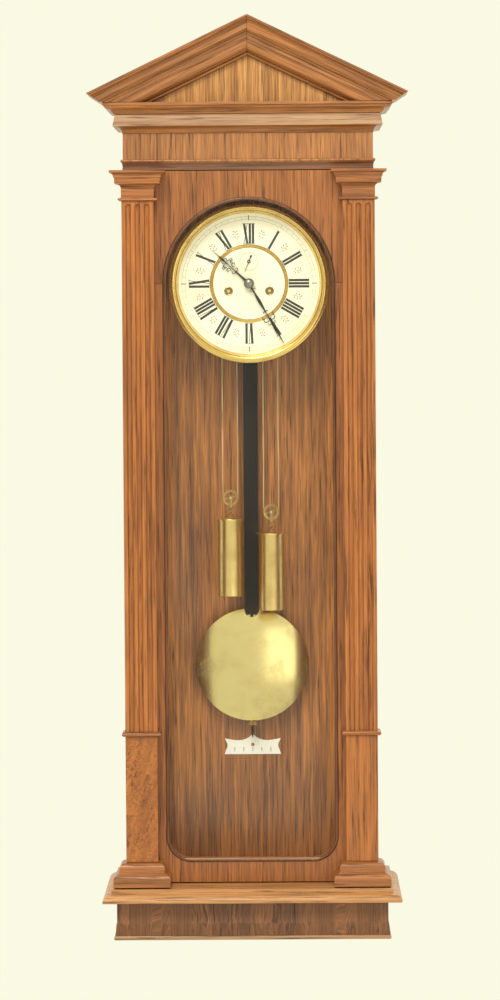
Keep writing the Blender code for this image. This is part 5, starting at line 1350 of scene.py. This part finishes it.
def weight(label):
    whole, wheel = Span("weight_" + label), Span("pulley_" + label)
    x, low = whole.middle.x, whole.low.z
    cap_r, cap_z, axle_z = whole.size.x / 2, low + CAP_OVER, wheel.middle.z
    shape = [(0, low)]
    for t in (0, 0.4, 0.8, 1.2, math.pi / 2):
        shape.append((SHELL_R - FOOT_R + FOOT_R * math.sin(t), low + FOOT_R - FOOT_R * math.cos(t)))
    bead = SHELL_R + 0.3 * MM
    shape += [(SHELL_R, cap_z - 3.0 * MM), (bead, cap_z - 2.6 * MM), (bead, cap_z - 1.0 * MM)]
    shape += [(cap_r - 0.3 * MM, cap_z - 1.0 * MM), (cap_r, cap_z - 0.7 * MM)]
    shape += [(cap_r - 0.2 * MM, cap_z - 0.1 * MM), (cap_r - 1.2 * MM, cap_z)]
    shape += [(SHELL_R * 0.5, cap_z + 0.5 * MM), (4.2 * MM, cap_z + 1.0 * MM)]
    shape += [(3.4 * MM, cap_z + 2.2 * MM), (0, cap_z + 2.4 * MM)]
    bm = lathe(shape, (x, line_y, 0), sides=96)
    piece("shell_" + label, bm, shell_brass, "weight_" + label, sharp=50)
    hook = [(x, line_y, cap_z + 1.5 * MM), (x, line_y, cap_z + 4.0 * MM)]
    loop_c = cap_z + 8.2 * MM
    for t in [math.radians(a) for a in range(20, 300, 17)]:
        hook.append((x + HOOK_GRIP * math.sin(t), line_y, loop_c - HOOK_GRIP * math.cos(t)))
    piece("hook_" + label, tube(hook, 0.95 * MM, 12), dull_brass, "weight_" + label)
    reach = axle_z + 1.8 * MM
    bend = cap_z + 11.6 * MM
    strap = [(x, line_y - STRAP_HALF, reach), (x, line_y - STRAP_HALF, bend + 3.0 * MM)]
    strap += [(x, line_y - STRAP_HALF * math.cos(t), bend + 2.6 * MM - 2.0 * MM * math.sin(t))
              for t in [math.pi * k / 10 for k in range(1, 10)]]
    strap += [(x, line_y + STRAP_HALF, bend + 3.0 * MM), (x, line_y + STRAP_HALF, reach)]
    bm = tube(strap, 0.5 * MM, 12)
    flatten = Matrix.Diagonal((4.0, 1, 1, 1))
    bm.transform(Matrix.Translation((x, 0, 0)) @ flatten @ Matrix.Translation((-x, 0, 0)))
    piece("stirrup_" + label, bm, dull_brass, "weight_" + label)
    eye = [(x + 1.9 * MM * math.cos(t), line_y, bend - 0.6 * MM + 1.9 * MM * math.sin(t))
           for t in [math.tau * k / 20 for k in range(20)]]
    piece("hook_eye_" + label, tube(eye, 0.75 * MM, 10, closed=True), dull_brass, "weight_" + label)
    pin = [(r * MM, line_y - out * MM) for r, out in PIN_HALF]
    pin += [(r * MM, line_y + out * MM) for r, out in PIN_HALF[::-1]]
    piece("axle_" + label, lathe(pin, (x, 0, axle_z), "Y", 24), steel, "weight_" + label)


def pulley(label):
    wheel = Span("pulley_" + label)
    outer, half, groove_r = wheel.size.x / 2, wheel.size.y / 2, wheel.size.x / 2 - 1.9 * MM
    centre = (wheel.middle.x, line_y, wheel.middle.z)
    rim = outer - 2.9 * MM
    shape = [(rim, half * 0.8), (outer - 0.3 * MM, half), (outer, half - 0.3 * MM)]
    shape += [(outer, 1.25 * MM), (groove_r, 0.75 * MM), (groove_r, -0.75 * MM), (outer, -1.25 * MM)]
    shape += [(outer, 0.3 * MM - half), (outer - 0.3 * MM, -half), (rim, -half * 0.8)]
    bore, hub = 1.55 * MM, 2.9 * MM
    parts = [lathe(shape, centre, "Y", 72, ring=True)]
    parts.append(lathe([(bore, -half), (hub, -half), (hub, half), (bore, half)], centre, "Y", 32, ring=True))
    for spoke in range(4):
        turn = math.tau * spoke / 4 + 0.3
        ends = [(centre[0] + r * math.cos(turn), line_y, centre[2] + r * math.sin(turn))
                for r in (2.5 * MM, 4.5 * MM, 6.0 * MM, rim + 0.3 * MM)]
        parts.append(tube(ends, [0.8 * MM, 0.6 * MM, 0.6 * MM, 0.9 * MM], 12))
    piece("pulley_spoked_" + label, merged(*parts), dull_brass, "pulley_" + label, sharp=40)


for label in ("left", "right"):
    weight(label)
    pulley(label)

# %% [markdown]
# The gut lines run down from the drum, under the pulley and up to a bar behind the dial. A line has to grow
# as its weight comes down; here each is one tube, drawn where it hangs at rest, and it follows no moving
# body.

# %% Lines
LINE_R, LINE_PATH = 0.6 * MM, 9.5 * MM
for label in ("left", "right"):
    whole, wheel = Span("line_" + label), Span("pulley_" + label)
    x, z = wheel.middle.x, wheel.middle.z
    drum_z, bar_z = centre_z - 9.5 * MM, whole.high.z
    rounds = [(x + LINE_PATH * math.cos(t), line_y, z + LINE_PATH * math.sin(t))
              for t in [math.pi + math.pi * k / 20 for k in range(21)]]
    down = [(x - LINE_PATH, line_y, drum_z + (z - drum_z) * k / 40) for k in range(40)]
    up = [(x + LINE_PATH, line_y, z + (bar_z - z) * k / 40) for k in range(1, 41)]
    line = piece("gut_" + label, tube(down + rounds + up, LINE_R, 10), gut, (), body="case")
    line.parent = None
    line.matrix_world = Matrix.Identity(4)
    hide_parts("line_" + label)
    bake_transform(line)

# %% [markdown]
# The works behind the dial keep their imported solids, which are already toothed and pierced. They get the
# metal they are made of and a fine bevel on their edges. Solids that arrive in facets are welded and
# softened by modifiers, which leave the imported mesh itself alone.

# %% The works, boards and glass
FINISH_OF = {
    "back_board": (oak["back"], 0.5), "side_left": (oak["side"], 0.5), "side_right": (oak["side"], 0.5),
    "tympanum": (oak["tympanum"], 0.2),
    "side_glass_left": (clear_glass, 0), "side_glass_right": (clear_glass, 0),
    "door_glass": (clear_glass, 0), "hanger_plate": (steel, 0.3), "movement_bracket": (steel, 0.3),
    "gong": (blued, 0), "hammer": (steel, 0.1),
    "back_plate": (plate_brass, 0.2), "front_plate": (plate_brass, 0.2),
    "door_catch": (brass, 0.2), "door_pivot_upper": (steel, 0.2), "door_pivot_lower": (steel, 0.2),
    "suspension_spring": (steel, 0.1), "pallet_anchor": (steel, 0.1),
}
for name, node in frame["nodes"].items():
    if node.hide_render:
        continue
    material, bevel = FINISH_OF.get(name, (brass, 0.1))
    node.data.materials.clear()
    node.data.materials.append(material)
    if bevel:
        node.modifiers.new("weld", "WELD").merge_threshold = 1e-6
        softened = node.modifiers.new("arris", "BEVEL")
        softened.width, softened.segments = bevel * MM, 2
        softened.limit_method, softened.angle_limit = "ANGLE", math.radians(40)
        softened.harden_normals = True
print("packed solids kept:", sum(not node.hide_render for node in frame["nodes"].values()))

# %% [markdown]
# The floor is a plain pale disc well below the clock, as it would be under a clock on a wall.

# %% Floor
floor_paint = paint_finish("floor_pale", (0.80, 0.79, 0.76), (0.84, 0.83, 0.80), 0.7)
foot_z = cad_box[0][2]
floor_z, under, edge = foot_z - FLOOR_DROP, 0.02, 0.005
disc = lathe([(0, floor_z - under), (FLOOR_RADIUS, floor_z - under), (FLOOR_RADIUS, floor_z - edge),
              (FLOOR_RADIUS - edge, floor_z), (0, floor_z)], (0, 0, 0))
mesh = bpy.data.meshes.new("floor")
bmesh.ops.recalc_face_normals(disc, faces=disc.faces)
disc.to_mesh(mesh)
disc.free()
mesh.materials.append(floor_paint)
floor = bpy.data.objects.new("floor", mesh)
bpy.context.scene.collection.objects.link(floor)
